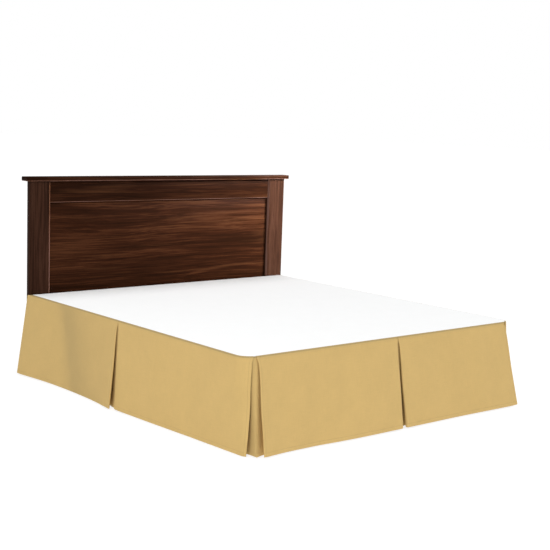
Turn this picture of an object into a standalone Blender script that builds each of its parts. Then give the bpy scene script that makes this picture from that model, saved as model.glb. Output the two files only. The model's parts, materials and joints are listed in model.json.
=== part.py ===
"""Bed skirt on a king bed with a panel headboard.

The skirt is a white platform sheet with three gold drops sewn to its edge, each with
an inverted pleat in its middle, and a creased insert behind each split foot corner.
The bed under it is plain: a two-part foundation, a steel frame and a headboard.

Metres, +Z up, +Y to the head of the bed, +X to its right side as seen from the foot.
The origin lies on the floor under the middle of the whole object. The tables below
count from the bed's own centre, which the parent empty moves along Y to its place.
"""
import math
from collections import namedtuple

import bmesh
import bpy
from mathutils import Vector

# ---- Top of the bed ----------------------------------------------------------
BED_WIDTH = 1.944           # over the drops at the top edge
FOOT_EDGE = 1.016           # bed's centre to the drop at the foot
HEAD_EDGE = 1.036           # bed's centre to the platform's edge at the head
TOP_Z = 0.470               # upper face of the platform sheet
CORNER_RADIUS = 0.080       # foot corners, in plan
SPLIT_ANGLE = 78.0          # where a foot corner is split, degrees round from its side
SPLIT_GAP = 0.016           # between the drops at the top of the split

# ---- Cloth -------------------------------------------------------------------
CLOTH = 0.0015              # thickness of a sheet
LAYER_STEP = 0.0023         # one layer of a pleat to the next
ROLL = 0.008                # a drop turns down over the edge on this radius
SEAM_GAP = 0.0005           # platform sheet to the drops sewn to it
SHOULDER = 0.024            # how far the left drop stands off at the head end
SHOULDER_RIGHT = 0.004      # the same on the right
SHOULDER_REACH = 0.16       # how far along the side that shoulder dies away
SHOULDER_LIFT = 0.4         # how much it rises for each metre that it stands off
HEM_LIFT = 0.004            # hem over the floor where a drop hangs plumb
HEM_RISE = 0.05             # more lift for each metre that the hem stands out
PLEAT_GAP = 0.005           # between a pleat's two folds at the top
PLEAT_RETURN = 0.085        # how far a pleat folds back behind its panels
INSERT_HALF = 0.120         # half of a corner insert's width at the top
OUTER_LAYER = CLOTH / 2
MIDDLE_LAYER = OUTER_LAYER + LAYER_STEP
INNER_LAYER = MIDDLE_LAYER + LAYER_STEP
SEWN_LAYER = OUTER_LAYER + CLOTH + 0.0004   # an insert's top, against the drops over it
STRAIGHT_STEP = 0.090       # widest column of a panel
ARC_STEP = 0.013            # widest column round a corner
FOLD_STEPS = 4              # facets round a fold
FOLD_ROUND = 2.0            # tangent over width that makes a fold at the hem round
ROLL_ANGLES = (90, 60, 30, 0)
FALL_ROWS = (0.12, 0.30, 0.50, 0.70, 0.87, 1.0)

# ---- Foundation and steel frame ----------------------------------------------
FOUNDATION_INSET = 0.0125   # inside the drops at the top edge
FOUNDATION_HEAD_INSET = 0.006
FOUNDATION_HEIGHT = 0.229
FOUNDATION_EDGE = 0.014     # rounding of its edges
FOUNDATION_FACETS = 8       # round each of its corners
FOUNDATION_SPLIT = 0.003    # between its halves
REST_GAP = 0.0003           # between pieces that rest on each other
STEEL = 0.003
RAIL_FLANGE = 0.038
RAIL_CLEAR = 0.0025         # side rail's upright to the foundation
RAIL_FOOT_END = 0.860       # from the bed's centre
TUBE = 0.030                # cross rails
LEG_COLUMNS = (-0.800, 0.0, 0.800)
CrossRail = namedtuple("CrossRail", "name along legs")
CROSS_RAILS = (
    CrossRail("foot", -0.750, LEG_COLUMNS),
    CrossRail("middle", 0.080, (0.0,)),
    CrossRail("head", 0.900, LEG_COLUMNS),
)
LEG_RADIUS = 0.016
FOOT_RADIUS = 0.026
FOOT_HEIGHT = 0.028
LEG_SIDES = 14
BRACKET_SIZE = (0.080, 0.005, 0.150)
BRACKET_LOW = 0.150

# ---- Headboard -----------------------------------------------------------------
HEADBOARD_WIDTH = 1.965
HEADBOARD_HEIGHT = 1.174
HEADBOARD_FRONT = 1.039     # front faces of the posts, from the bed's centre
POST_WIDTH = 0.138
POST_DEPTH = 0.035
POST_CHAMFER = 0.010
CAP_HEIGHT = 0.026
CAP_OVERHANG = 0.028
CAP_REACH = 0.016           # past the posts, front and back
CAP_EASE = 0.004
TOP_RAIL_HEIGHT = 0.130
BOARD_RAIL_DEPTH = 0.026
RAIL_SETBACK = 0.009
PANEL_SETBACK = 0.021
PANEL_DEPTH = 0.012
BOTTOM_RAIL = (0.235, 0.355)
RAIL_EASE = 0.004

# ---- Plans of the hems ---------------------------------------------------------
# A row is a place along the side and how far the hem stands out from the top edge
# there. Places count from the bed's centre: Y on the left and right, X at the foot.
Hem = namedtuple("Hem", "along out")

LEFT_HEAD_PANEL = (
    Hem(1.025, 0.097), Hem(0.980, 0.096), Hem(0.850, 0.076), Hem(0.700, 0.059),
    Hem(0.550, 0.053), Hem(0.350, 0.051), Hem(0.200, 0.058), Hem(0.080, 0.071), Hem(0.030, 0.077),
)
LEFT_FOOT_PANEL = (
    Hem(0.010, 0.054), Hem(-0.040, 0.055), Hem(-0.150, 0.049), Hem(-0.350, 0.038),
    Hem(-0.650, 0.020), Hem(-0.950, 0.004), Hem(-1.020, -0.001), Hem(-1.037, -0.008),
)
LEFT_PLEAT = (
    (Hem(0.033, 0.069), Hem(0.110, 0.036)),
    (Hem(0.110, 0.022), Hem(0.050, 0.037), Hem(-0.010, 0.036), Hem(-0.080, 0.029)),
    (Hem(-0.080, 0.039), Hem(0.009, 0.044)),
)
RIGHT_HEAD_PANEL = (
    Hem(1.025, 0.097), Hem(0.800, 0.079), Hem(0.560, 0.066), Hem(0.330, 0.070),
    Hem(0.150, 0.076), Hem(0.038, 0.074),
)
RIGHT_FOOT_PANEL = (
    Hem(0.012, 0.064), Hem(-0.200, 0.056), Hem(-0.480, 0.040), Hem(-0.760, 0.024),
    Hem(-0.960, 0.010), Hem(-1.037, -0.004),
)
RIGHT_PLEAT = (
    (Hem(0.038, 0.065), Hem(0.110, 0.040)),
    (Hem(0.110, 0.028), Hem(0.050, 0.034), Hem(0.000, 0.036), Hem(-0.070, 0.032)),
    (Hem(-0.070, 0.042), Hem(0.011, 0.051)),
)
FOOT_LEFT_PANEL = (
    Hem(-0.906, 0.085), Hem(-0.880, 0.086), Hem(-0.830, 0.081), Hem(-0.750, 0.076),
    Hem(-0.650, 0.075), Hem(-0.550, 0.078), Hem(-0.430, 0.088), Hem(-0.300, 0.094),
    Hem(0.000, 0.095), Hem(0.012, 0.093),
)
FOOT_RIGHT_PANEL = (
    Hem(0.050, 0.094), Hem(0.250, 0.094), Hem(0.450, 0.093), Hem(0.650, 0.097),
    Hem(0.870, 0.104), Hem(0.940, 0.100),
)
FOOT_PLEAT = (
    (Hem(0.010, 0.083), Hem(-0.066, 0.068)),
    (Hem(-0.066, 0.054), Hem(0.050, 0.053), Hem(0.140, 0.051)),
    (Hem(0.140, 0.062), Hem(0.052, 0.076)),
)
# A corner insert runs down the side to its crease, then along the foot.
INSERT_SIDE = (
    Hem(-0.925, 0.000), Hem(-0.960, -0.010), Hem(-1.000, -0.039), Hem(-1.080, -0.038),
)
INSERT_FOOT = (Hem(-0.934, 0.064), Hem(-0.882, 0.048), Hem(-0.806, 0.038))

# Where each pleat meets the top edge, and the soft ridges and troughs of the panels:
# the layer run it is on, where along it, its width and how far it stands out.
LEFT_PLEAT_TOP = 0.071
RIGHT_PLEAT_TOP = 0.050
FOOT_PLEAT_TOP = 0.040
Ridge = namedtuple("Ridge", "run at width height")
LEFT_RIDGES = (
    Ridge(0, 0.46, 0.050, 0.009), Ridge(0, 0.64, 0.080, -0.008), Ridge(0, 0.20, 0.070, -0.003),
    Ridge(4, 0.30, 0.080, 0.004), Ridge(4, 0.62, 0.090, -0.004),
)
RIGHT_RIDGES = (
    Ridge(0, 0.40, 0.060, -0.005), Ridge(0, 0.66, 0.060, 0.005),
    Ridge(4, 0.35, 0.080, 0.005), Ridge(4, 0.68, 0.080, -0.004),
)
FOOT_RIDGES = (
    Ridge(0, 0.28, 0.090, 0.005), Ridge(0, 0.60, 0.080, -0.005),
    Ridge(4, 0.33, 0.080, -0.004), Ridge(4, 0.70, 0.090, 0.005),
)

# Colour, roughness and metallic value of each material.
Finish = namedtuple("Finish", "colour roughness metallic")
FINISHES = {
    "gold_cloth": Finish((0.680, 0.474, 0.188), 0.85, 0.0),
    "white_cloth": Finish((0.900, 0.900, 0.900), 0.90, 0.0),
    "ticking": Finish((0.780, 0.750, 0.690), 0.90, 0.0),
    "steel": Finish((0.060, 0.060, 0.065), 0.45, 0.9),
    "walnut": Finish((0.070, 0.027, 0.018), 0.45, 0.0),
}

# ---- Values worked out from those above ------------------------------------------
SIDE_X = BED_WIDTH / 2
SIDE_RUN = HEAD_EDGE + FOOT_EDGE - CORNER_RADIUS
ARC_RUN = CORNER_RADIUS * math.pi / 2
FOOT_RUN = BED_WIDTH - 2 * CORNER_RADIUS
PERIMETER = 2 * SIDE_RUN + 2 * ARC_RUN + FOOT_RUN
SPLIT_RUN = SIDE_RUN + CORNER_RADIUS * math.radians(SPLIT_ANGLE)
FOUNDATION_TOP = TOP_Z - CLOTH - REST_GAP
FOUNDATION_LOW = FOUNDATION_TOP - FOUNDATION_HEIGHT
RAIL_TOP = FOUNDATION_LOW - REST_GAP
TUBE_TOP = RAIL_TOP - STEEL - REST_GAP
CAP_LOW = HEADBOARD_HEIGHT - CAP_HEIGHT
FOOT_REACH = FOOT_EDGE + max(row.out for row in FOOT_RIGHT_PANEL)
HEAD_REACH = HEADBOARD_FRONT + POST_DEPTH + CAP_REACH
BED_CENTRE_Y = (FOOT_REACH - HEAD_REACH) / 2


def clear_scene():
    for obj in list(bpy.data.objects):
        bpy.data.objects.remove(obj)


def make_materials():
    """One Principled material for each finish."""
    made = {}
    for name, finish in FINISHES.items():
        material = bpy.data.materials.new(name)
        material.use_nodes = True
        shader = material.node_tree.nodes["Principled BSDF"]
        shader.inputs["Base Color"].default_value = (*finish.colour, 1.0)
        shader.inputs["Roughness"].default_value = finish.roughness
        shader.inputs["Metallic"].default_value = finish.metallic
        made[name] = material
    return made


def add_object(name, bm, material, smooth_angle=None):
    """Turn a bmesh into an object that hangs on the bed's empty."""
    bmesh.ops.recalc_face_normals(bm, faces=bm.faces)
    mesh = bpy.data.meshes.new(name)
    bm.to_mesh(mesh)
    bm.free()
    mesh.materials.append(MATERIALS[material])
    if smooth_angle is not None:
        mesh.shade_smooth()
        mesh.set_sharp_from_angle(angle=math.radians(smooth_angle))
    obj = bpy.data.objects.new(name, mesh)
    obj.parent = BED
    bpy.context.scene.collection.objects.link(obj)
    return obj


# ---- Outline of the bed's top ----------------------------------------------------

def outline(run):
    """Point and outward direction on the top edge, `run` metres round it.

    It starts at the head end of the left side and ends at the head end of the right.
    """
    if run > PERIMETER / 2:
        point, outward = outline(PERIMETER - run)
        return Vector((-point.x, point.y)), Vector((-outward.x, outward.y))
    if run <= SIDE_RUN:
        return Vector((-SIDE_X, HEAD_EDGE - run)), Vector((-1, 0))
    if run <= SIDE_RUN + ARC_RUN:
        angle = (run - SIDE_RUN) / CORNER_RADIUS
        centre = Vector((-SIDE_X + CORNER_RADIUS, -FOOT_EDGE + CORNER_RADIUS))
        outward = Vector((-math.cos(angle), -math.sin(angle)))
        return centre + CORNER_RADIUS * outward, outward
    along = run - SIDE_RUN - ARC_RUN
    return Vector((-SIDE_X + CORNER_RADIUS + along, -FOOT_EDGE)), Vector((0, -1))


def on_arc(run):
    """True where that place on the top edge is on a rounded corner."""
    near = min(run, PERIMETER - run)
    return SIDE_RUN < near < SIDE_RUN + ARC_RUN


def stations(start, end):
    """Places from start to end along the top edge, closer together on the corners."""
    marks = [start, end]
    for corner in (SIDE_RUN, SIDE_RUN + ARC_RUN):
        marks += [mark for mark in (corner, PERIMETER - corner)
                  if min(start, end) < mark < max(start, end)]
    marks.sort(reverse=start > end)
    places = [start]
    for first, last in zip(marks, marks[1:]):
        step = ARC_STEP if on_arc((first + last) / 2) else STRAIGHT_STEP
        count = max(1, math.ceil(abs(last - first) / step))
        places += [first + (last - first) * (i + 1) / count for i in range(count)]
    return places


# ---- Cloth -------------------------------------------------------------------------

# One layer of a strip: how deep it lies at the top, where it starts and ends along
# the top edge, the side whose plan its hem is given in, and that plan.
Layer = namedtuple("Layer", "depth start end side hem")


def hermite(start, leave, end, enter, t):
    """A cubic from start to end with those tangents, at t from 0 to 1."""
    return (start * (2 * t ** 3 - 3 * t ** 2 + 1) + leave * (t ** 3 - 2 * t ** 2 + t)
            + end * (3 * t ** 2 - 2 * t ** 3) + enter * (t ** 3 - t ** 2))


def curve_at(rows, along):
    """A smooth curve through rows of (along, out), read at one place."""
    rows = sorted(rows)
    index = max(i for i in range(len(rows) - 1) if i == 0 or rows[i].along <= along)

    def slope(i):
        low, high = rows[max(i - 1, 0)], rows[min(i + 1, len(rows) - 1)]
        return (high.out - low.out) / (high.along - low.along)

    first, last = rows[index], rows[index + 1]
    span = last.along - first.along
    return hermite(first.out, span * slope(index), last.out, span * slope(index + 1),
                   (along - first.along) / span)


def hem_plan(layer, fraction):
    """Plan of a layer's hem, that fraction of the way along it."""
    along = layer.hem[0].along + fraction * (layer.hem[-1].along - layer.hem[0].along)
    out = curve_at(layer.hem, along)
    if layer.side == "foot":
        return Vector((along, -FOOT_EDGE - out))
    return Vector((-SIDE_X - out, along))


def hem_height(plan):
    """A hem that stands further out is lifted a little."""
    out = max(-SIDE_X - plan.x, plan.x - SIDE_X, -FOOT_EDGE - plan.y, 0.0)
    return HEM_LIFT + HEM_RISE * out


def rolled(run, depth, angle, shoulder):
    """A point of a layer where it turns over the top edge, at that angle of the turn."""
    point, outward = outline(run)
    radius = ROLL - depth
    stand = shoulder * math.exp(-(run / SHOULDER_REACH) ** 2)
    reach = (radius + stand) * math.cos(angle) - ROLL
    lift = stand * SHOULDER_LIFT
    height = TOP_Z - ROLL + lift + (radius - lift) * math.sin(angle)
    plan = point + reach * outward
    return Vector((plan.x, plan.y, height))


def strip_columns(layers, ridges):
    """The columns of a folded strip, as (run, depth, plan of its hem, bulge)."""
    columns = []
    for number, layer in enumerate(layers):
        laid = []
        for run in stations(layer.start, layer.end):
            fraction = (run - layer.start) / (layer.end - layer.start)
            bulge = sum(ridge.height * math.exp(-((fraction - ridge.at) / ridge.width) ** 2)
                        for ridge in ridges if ridge.run == number)
            laid.append((run, layer.depth, hem_plan(layer, fraction), bulge))
        if columns and layer.depth != layers[number - 1].depth:
            columns += fold_columns(columns[-2:], laid[:2])
        elif columns:
            laid = laid[1:]
        columns += laid
    return columns


def fold_columns(before, after):
    """Columns round the fold between two layers of a strip."""
    run, depth_in, hem_in, _ = before[1]
    _, depth_out, hem_out, _ = after[0]
    forward = math.copysign(1.0, run - before[0][0])
    radius = abs(depth_out - depth_in) / 2
    width = (hem_out - hem_in).length * FOLD_ROUND
    leave = (hem_in - before[0][2]).normalized() * width
    enter = (after[1][2] - hem_out).normalized() * width
    columns = []
    for step in range(1, FOLD_STEPS):
        t = step / FOLD_STEPS
        turn = math.pi * t
        plan = hermite(hem_in, leave, hem_out, enter, t)
        depth = (depth_in + depth_out) / 2 - (depth_out - depth_in) / 2 * math.cos(turn)
        columns.append((run + forward * radius * math.sin(turn), depth, plan, 0.0))
    return columns


def strip_rows(columns, shoulder, sewn):
    """Middle surface of a strip, row by row from its seam to its hem.

    A strip with a sewn depth comes up to that depth at its seam.
    """
    rows = []
    for angle in ROLL_ANGLES:
        turn = math.radians(angle)
        rise = math.sin(turn) if sewn else 0.0
        rows.append([rolled(run, depth + (sewn - depth) * rise, turn, shoulder)
                     for run, depth, _, _ in columns])
    edge = rows[-1]
    for fall in FALL_ROWS:
        row = []
        for (run, _, plan, bulge), top in zip(columns, edge):
            hem = Vector((plan.x, plan.y, hem_height(plan)))
            _, outward = outline(run)
            push = outward.to_3d() * bulge * math.sin(math.pi * fall)
            row.append(top.lerp(hem, fall) + push)
        rows.append(row)
    return rows


def thicken(rows, thickness):
    """A closed bmesh of a sheet around its middle surface."""
    bm = bmesh.new()
    last_row, last_column = len(rows) - 1, len(rows[0]) - 1
    skins = ([], [])
    for i, row in enumerate(rows):
        for skin in skins:
            skin.append([])
        for j, point in enumerate(row):
            across = row[min(j + 1, last_column)] - row[max(j - 1, 0)]
            down = rows[min(i + 1, last_row)][j] - rows[max(i - 1, 0)][j]
            normal = down.cross(across).normalized()
            skins[0][i].append(bm.verts.new(point + normal * thickness / 2))
            skins[1][i].append(bm.verts.new(point - normal * thickness / 2))
    for skin in skins:
        for i in range(last_row):
            for j in range(last_column):
                bm.faces.new((skin[i][j], skin[i][j + 1], skin[i + 1][j + 1], skin[i + 1][j]))
    outer, inner = skins
    for j in range(last_column):
        bm.faces.new((outer[0][j], inner[0][j], inner[0][j + 1], outer[0][j + 1]))
        bm.faces.new((outer[-1][j], outer[-1][j + 1], inner[-1][j + 1], inner[-1][j]))
    for i in range(last_row):
        bm.faces.new((outer[i][0], outer[i + 1][0], inner[i + 1][0], inner[i][0]))
        bm.faces.new((outer[i][-1], inner[i][-1], inner[i + 1][-1], outer[i + 1][-1]))
    return bm


def add_strip(name, layers, ridges=(), shoulder=0.0, sewn=0.0, mirrored=False):
    """A drop or an insert, made on the left or at the foot and mirrored if asked."""
    rows = strip_rows(strip_columns(layers, ridges), shoulder, sewn)
    if mirrored:
        rows = [[Vector((-point.x, point.y, point.z)) for point in row] for row in rows]
    return add_object(name, thicken(rows, CLOTH), "gold_cloth", smooth_angle=50)


def pleated_layers(start, pleat, end, side, panels, folds):
    """Panel, return, underlay, return and panel of a drop with an inverted pleat."""
    first, last = pleat - PLEAT_GAP / 2, pleat + PLEAT_GAP / 2
    return (
        Layer(OUTER_LAYER, start, first, side, panels[0]),
        Layer(MIDDLE_LAYER, first, first - PLEAT_RETURN, side, folds[0]),
        Layer(INNER_LAYER, first - PLEAT_RETURN, last + PLEAT_RETURN, side, folds[1]),
        Layer(MIDDLE_LAYER, last + PLEAT_RETURN, last, side, folds[2]),
        Layer(OUTER_LAYER, last, end, side, panels[1]),
    )


def add_drops():
    side_end = SPLIT_RUN - SPLIT_GAP / 2
    left = pleated_layers(0.0, HEAD_EDGE - LEFT_PLEAT_TOP, side_end, "side",
                          (LEFT_HEAD_PANEL, LEFT_FOOT_PANEL), LEFT_PLEAT)
    right = pleated_layers(0.0, HEAD_EDGE - RIGHT_PLEAT_TOP, side_end, "side",
                           (RIGHT_HEAD_PANEL, RIGHT_FOOT_PANEL), RIGHT_PLEAT)
    foot_start = SPLIT_RUN + SPLIT_GAP / 2
    foot = pleated_layers(foot_start, PERIMETER / 2 + FOOT_PLEAT_TOP, PERIMETER - foot_start, "foot",
                          (FOOT_LEFT_PANEL, FOOT_RIGHT_PANEL), FOOT_PLEAT)
    add_strip("drop_left", left, LEFT_RIDGES, SHOULDER)
    add_strip("drop_right", right, RIGHT_RIDGES, SHOULDER_RIGHT, mirrored=True)
    add_strip("drop_foot", foot, FOOT_RIDGES)


def add_corner_inserts():
    layers = (
        Layer(INNER_LAYER, SPLIT_RUN - INSERT_HALF, SPLIT_RUN, "side", INSERT_SIDE),
        Layer(INNER_LAYER, SPLIT_RUN, SPLIT_RUN + INSERT_HALF, "foot", INSERT_FOOT),
    )
    add_strip("corner_insert_left", layers, sewn=SEWN_LAYER)
    add_strip("corner_insert_right", layers, sewn=SEWN_LAYER, mirrored=True)


def inset_outline(inset):
    """The top edge's outline from head to head, moved in, with round foot corners."""
    places = [0.0] + stations(SIDE_RUN, SIDE_RUN + ARC_RUN)
    places += [PERIMETER - place for place in reversed(places)]
    points = []
    for place in places:
        point, outward = outline(place)
        points.append(point - inset * outward)
    return points


def prism(points, low, high):
    """A plan outline raised from one height to another."""
    bm = bmesh.new()
    base = bm.faces.new([bm.verts.new((point[0], point[1], low)) for point in points])
    raised = bmesh.ops.extrude_face_region(bm, geom=[base])
    verts = [item for item in raised["geom"] if isinstance(item, bmesh.types.BMVert)]
    bmesh.ops.translate(bm, verts=verts, vec=(0, 0, high - low))
    return bm


def add_platform():
    bm = prism(inset_outline(ROLL + SEAM_GAP), TOP_Z - CLOTH, TOP_Z)
    add_object("platform", bm, "white_cloth")


# ---- Bed -----------------------------------------------------------------------------

def bevelled(bm, width, segments=2, sharper_than=60.0):
    """Round the sharp edges of a bmesh."""
    edges = [edge for edge in bm.edges if edge.calc_face_angle() > math.radians(sharper_than)]
    bmesh.ops.bevel(bm, geom=edges, offset=width, segments=segments, profile=0.5, affect="EDGES")
    return bm


def box(low, high):
    """A plain box between two corners."""
    plan = ((low[0], low[1]), (high[0], low[1]), (high[0], high[1]), (low[0], high[1]))
    return prism(plan, low[2], high[2])


def add_foundation():
    """Two halves with rounded outer corners, side by side."""
    inset = FOUNDATION_INSET
    radius = CORNER_RADIUS - inset
    outer, middle = SIDE_X - inset, FOUNDATION_SPLIT / 2
    foot, head = -FOOT_EDGE + inset, HEAD_EDGE - FOUNDATION_HEAD_INSET
    turns = [math.pi / 2 * i / FOUNDATION_FACETS for i in range(FOUNDATION_FACETS + 1)]
    head_centre = Vector((-outer + radius, head - radius))
    foot_centre = Vector((-outer + radius, foot + radius))
    plan = [Vector((-middle, foot)), Vector((-middle, head))]
    plan += [head_centre + radius * Vector((-math.sin(a), math.cos(a))) for a in turns]
    plan += [foot_centre - radius * Vector((math.cos(a), math.sin(a))) for a in turns]
    for name, side in (("left", 1), ("right", -1)):
        points = [Vector((side * point.x, point.y)) for point in plan]
        bm = bevelled(prism(points, FOUNDATION_LOW, FOUNDATION_TOP), FOUNDATION_EDGE, segments=3)
        add_object("foundation_" + name, bm, "ticking", smooth_angle=40)


def angle_section(flange, thickness):
    """Plan of a steel angle in its own section, corner at the origin."""
    return ((0, 0), (flange, 0), (flange, thickness),
            (thickness, thickness), (thickness, flange), (0, flange))


def add_frame():
    """Side rails, cross rails, centre rail, legs and the headboard brackets."""
    rail_x = SIDE_X - FOUNDATION_INSET + RAIL_CLEAR + STEEL
    rail_head = HEADBOARD_FRONT - REST_GAP - BRACKET_SIZE[1] - REST_GAP
    for name, side in (("left", -1), ("right", 1)):
        bm = bmesh.new()
        section = [(side * (rail_x - across), RAIL_TOP - STEEL + up)
                   for across, up in angle_section(RAIL_FLANGE, STEEL)]
        face = bm.faces.new([bm.verts.new((x, -RAIL_FOOT_END, z)) for x, z in section])
        drawn = bmesh.ops.extrude_face_region(bm, geom=[face])
        verts = [item for item in drawn["geom"] if isinstance(item, bmesh.types.BMVert)]
        bmesh.ops.translate(bm, verts=verts, vec=(0, rail_head + RAIL_FOOT_END, 0))
        add_object("side_rail_" + name, bm, "steel")
        inner = rail_x - BRACKET_SIZE[0]
        low_x, high_x = sorted((side * inner, side * rail_x))
        bracket = box((low_x, rail_head + REST_GAP, BRACKET_LOW),
                      (high_x, HEADBOARD_FRONT - REST_GAP, BRACKET_LOW + BRACKET_SIZE[2]))
        add_object("headboard_bracket_" + name, bracket, "steel")
    half = RAIL_FLANGE / 2
    centre = box((-half, CROSS_RAILS[0].along - TUBE, RAIL_TOP - STEEL),
                 (half, CROSS_RAILS[-1].along + TUBE, RAIL_TOP))
    add_object("centre_rail", centre, "steel")
    number = 1
    for rail in CROSS_RAILS:
        tube = box((-rail_x, rail.along - TUBE / 2, TUBE_TOP - TUBE),
                   (rail_x, rail.along + TUBE / 2, TUBE_TOP))
        add_object("cross_rail_" + rail.name, bevelled(tube, STEEL), "steel")
        for across in rail.legs:
            add_leg("leg_" + str(number), across, rail.along)
            number += 1


def add_leg(name, x, y):
    """A round leg on a wider foot, turned as one piece."""
    ease = STEEL
    top = TUBE_TOP - TUBE - REST_GAP
    profile = (
        (0, top), (LEG_RADIUS, top), (LEG_RADIUS, FOOT_HEIGHT), (FOOT_RADIUS - ease, FOOT_HEIGHT),
        (FOOT_RADIUS, FOOT_HEIGHT - ease), (FOOT_RADIUS, ease), (FOOT_RADIUS - ease, 0), (0, 0),
    )
    bm = bmesh.new()
    verts = [bm.verts.new((radius, 0, height)) for radius, height in profile]
    edges = [bm.edges.new(pair) for pair in zip(verts, verts[1:])]
    bmesh.ops.spin(bm, geom=verts + edges, cent=(0, 0, 0), axis=(0, 0, 1),
                   angle=2 * math.pi, steps=LEG_SIDES, use_duplicate=False)
    bmesh.ops.remove_doubles(bm, verts=bm.verts, dist=0.00005)
    obj = add_object(name, bm, "steel", smooth_angle=40)
    obj.location = (x, y, 0)


def add_headboard():
    half = HEADBOARD_WIDTH / 2
    front, back = HEADBOARD_FRONT, HEADBOARD_FRONT + POST_DEPTH
    inner = half - POST_WIDTH
    for name, side in (("left", -1), ("right", 1)):
        plan = [(side * x, y) for x, y in (
            (half, front), (half, back), (inner, back),
            (inner, front + POST_CHAMFER), (inner + POST_CHAMFER, front))]
        add_object("headboard_post_" + name, prism(plan, 0, CAP_LOW - REST_GAP), "walnut")
    cap = box((-half - CAP_OVERHANG, front - CAP_REACH, CAP_LOW),
              (half + CAP_OVERHANG, back + CAP_REACH, HEADBOARD_HEIGHT))
    add_object("headboard_cap", bevelled(cap, CAP_EASE), "walnut")
    reach = inner - REST_GAP
    rail_front = front + RAIL_SETBACK
    top_rail_low = CAP_LOW - TOP_RAIL_HEIGHT
    for name, low, high in (("top", top_rail_low, CAP_LOW - REST_GAP), ("bottom", *BOTTOM_RAIL)):
        rail = box((-reach, rail_front, low), (reach, rail_front + BOARD_RAIL_DEPTH, high))
        edges = [edge for edge in rail.edges
                 if all(abs(v.co.y - rail_front) < CLOTH for v in edge.verts)
                 and abs(edge.verts[0].co.z - edge.verts[1].co.z) < CLOTH]
        bmesh.ops.bevel(rail, geom=edges, offset=RAIL_EASE, segments=2, profile=0.5, affect="EDGES")
        add_object("headboard_" + name + "_rail", rail, "walnut")
    panel = box((-reach, front + PANEL_SETBACK, BOTTOM_RAIL[1] + REST_GAP),
                (reach, front + PANEL_SETBACK + PANEL_DEPTH, top_rail_low - REST_GAP))
    add_object("headboard_panel", panel, "walnut")


clear_scene()
MATERIALS = make_materials()
BED = bpy.data.objects.new("bed", None)
BED.location = (0, BED_CENTRE_Y, 0)
bpy.context.scene.collection.objects.link(BED)
add_platform()
add_drops()
add_corner_inserts()
add_foundation()
add_frame()
add_headboard()
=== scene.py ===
"""Looks of a bed skirt on a plain king bed with a panelled headboard.

The skirt's drops, corner inserts and platform sheet are modelled again on the solids'
own tables, finer, with their hems, seams, stitches and soft folds. The bed under it
gets its foundation covers, bolts and eased boards. Metres, +Z up, +Y to the headboard.
"""
import json
import math
from collections import namedtuple

import bpy
import numpy as np
from bpy.props import FloatProperty, FloatVectorProperty, IntProperty, PointerProperty
from mathutils import Matrix, Vector, noise

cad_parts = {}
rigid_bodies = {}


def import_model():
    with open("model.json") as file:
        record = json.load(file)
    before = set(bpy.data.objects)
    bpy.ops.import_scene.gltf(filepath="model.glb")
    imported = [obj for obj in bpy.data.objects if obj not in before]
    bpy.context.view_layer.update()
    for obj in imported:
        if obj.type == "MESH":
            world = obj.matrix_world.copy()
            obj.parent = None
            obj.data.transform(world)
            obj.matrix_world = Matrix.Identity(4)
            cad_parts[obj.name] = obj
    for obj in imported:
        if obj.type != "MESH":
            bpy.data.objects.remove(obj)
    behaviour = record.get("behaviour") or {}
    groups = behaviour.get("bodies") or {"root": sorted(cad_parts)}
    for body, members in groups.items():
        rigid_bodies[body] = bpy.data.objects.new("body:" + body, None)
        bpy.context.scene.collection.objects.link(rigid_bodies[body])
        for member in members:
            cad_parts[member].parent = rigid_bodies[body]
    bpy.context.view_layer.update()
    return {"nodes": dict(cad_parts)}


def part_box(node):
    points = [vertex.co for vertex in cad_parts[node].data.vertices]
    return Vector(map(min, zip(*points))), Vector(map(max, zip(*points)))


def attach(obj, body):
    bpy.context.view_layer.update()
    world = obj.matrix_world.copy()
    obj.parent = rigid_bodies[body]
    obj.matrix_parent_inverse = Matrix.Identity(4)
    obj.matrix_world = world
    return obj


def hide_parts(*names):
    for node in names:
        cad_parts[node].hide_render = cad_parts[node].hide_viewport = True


bl_info = {
    "name": "Bed skirt on a king bed",
    "version": (1, 0, 0),
    "blender": (4, 5, 0),
    "location": "3D View > Sidebar > Bed skirt",
    "description": "Models a tailored bed skirt, the plain bed that it dresses and a studio",
    "category": "Add Mesh",
}

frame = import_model()

# ---- Plans of the hems -----------------------------------------------------------
# A row is a place along the side and how far the hem stands out from the top edge
# there. Places count from the bed's centre: Y on the left and right, X at the foot.
Hem = namedtuple("Hem", "along out")

LEFT_HEAD_PANEL = (
    Hem(1.025, 0.097), Hem(0.980, 0.096), Hem(0.850, 0.076), Hem(0.700, 0.059),
    Hem(0.550, 0.053), Hem(0.350, 0.051), Hem(0.200, 0.058), Hem(0.080, 0.071), Hem(0.030, 0.077),
)
LEFT_FOOT_PANEL = (
    Hem(0.010, 0.054), Hem(-0.040, 0.055), Hem(-0.150, 0.049), Hem(-0.350, 0.038),
    Hem(-0.650, 0.020), Hem(-0.950, 0.004), Hem(-1.020, -0.001), Hem(-1.037, -0.008),
)
LEFT_PLEAT = (
    (Hem(0.033, 0.069), Hem(0.110, 0.036)),
    (Hem(0.110, 0.022), Hem(0.050, 0.037), Hem(-0.010, 0.036), Hem(-0.080, 0.029)),
    (Hem(-0.080, 0.039), Hem(0.009, 0.044)),
)
RIGHT_HEAD_PANEL = (
    Hem(1.025, 0.097), Hem(0.800, 0.079), Hem(0.560, 0.066), Hem(0.330, 0.070),
    Hem(0.150, 0.076), Hem(0.038, 0.074),
)
RIGHT_FOOT_PANEL = (
    Hem(0.012, 0.064), Hem(-0.200, 0.056), Hem(-0.480, 0.040), Hem(-0.760, 0.024),
    Hem(-0.960, 0.010), Hem(-1.037, -0.004),
)
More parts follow.
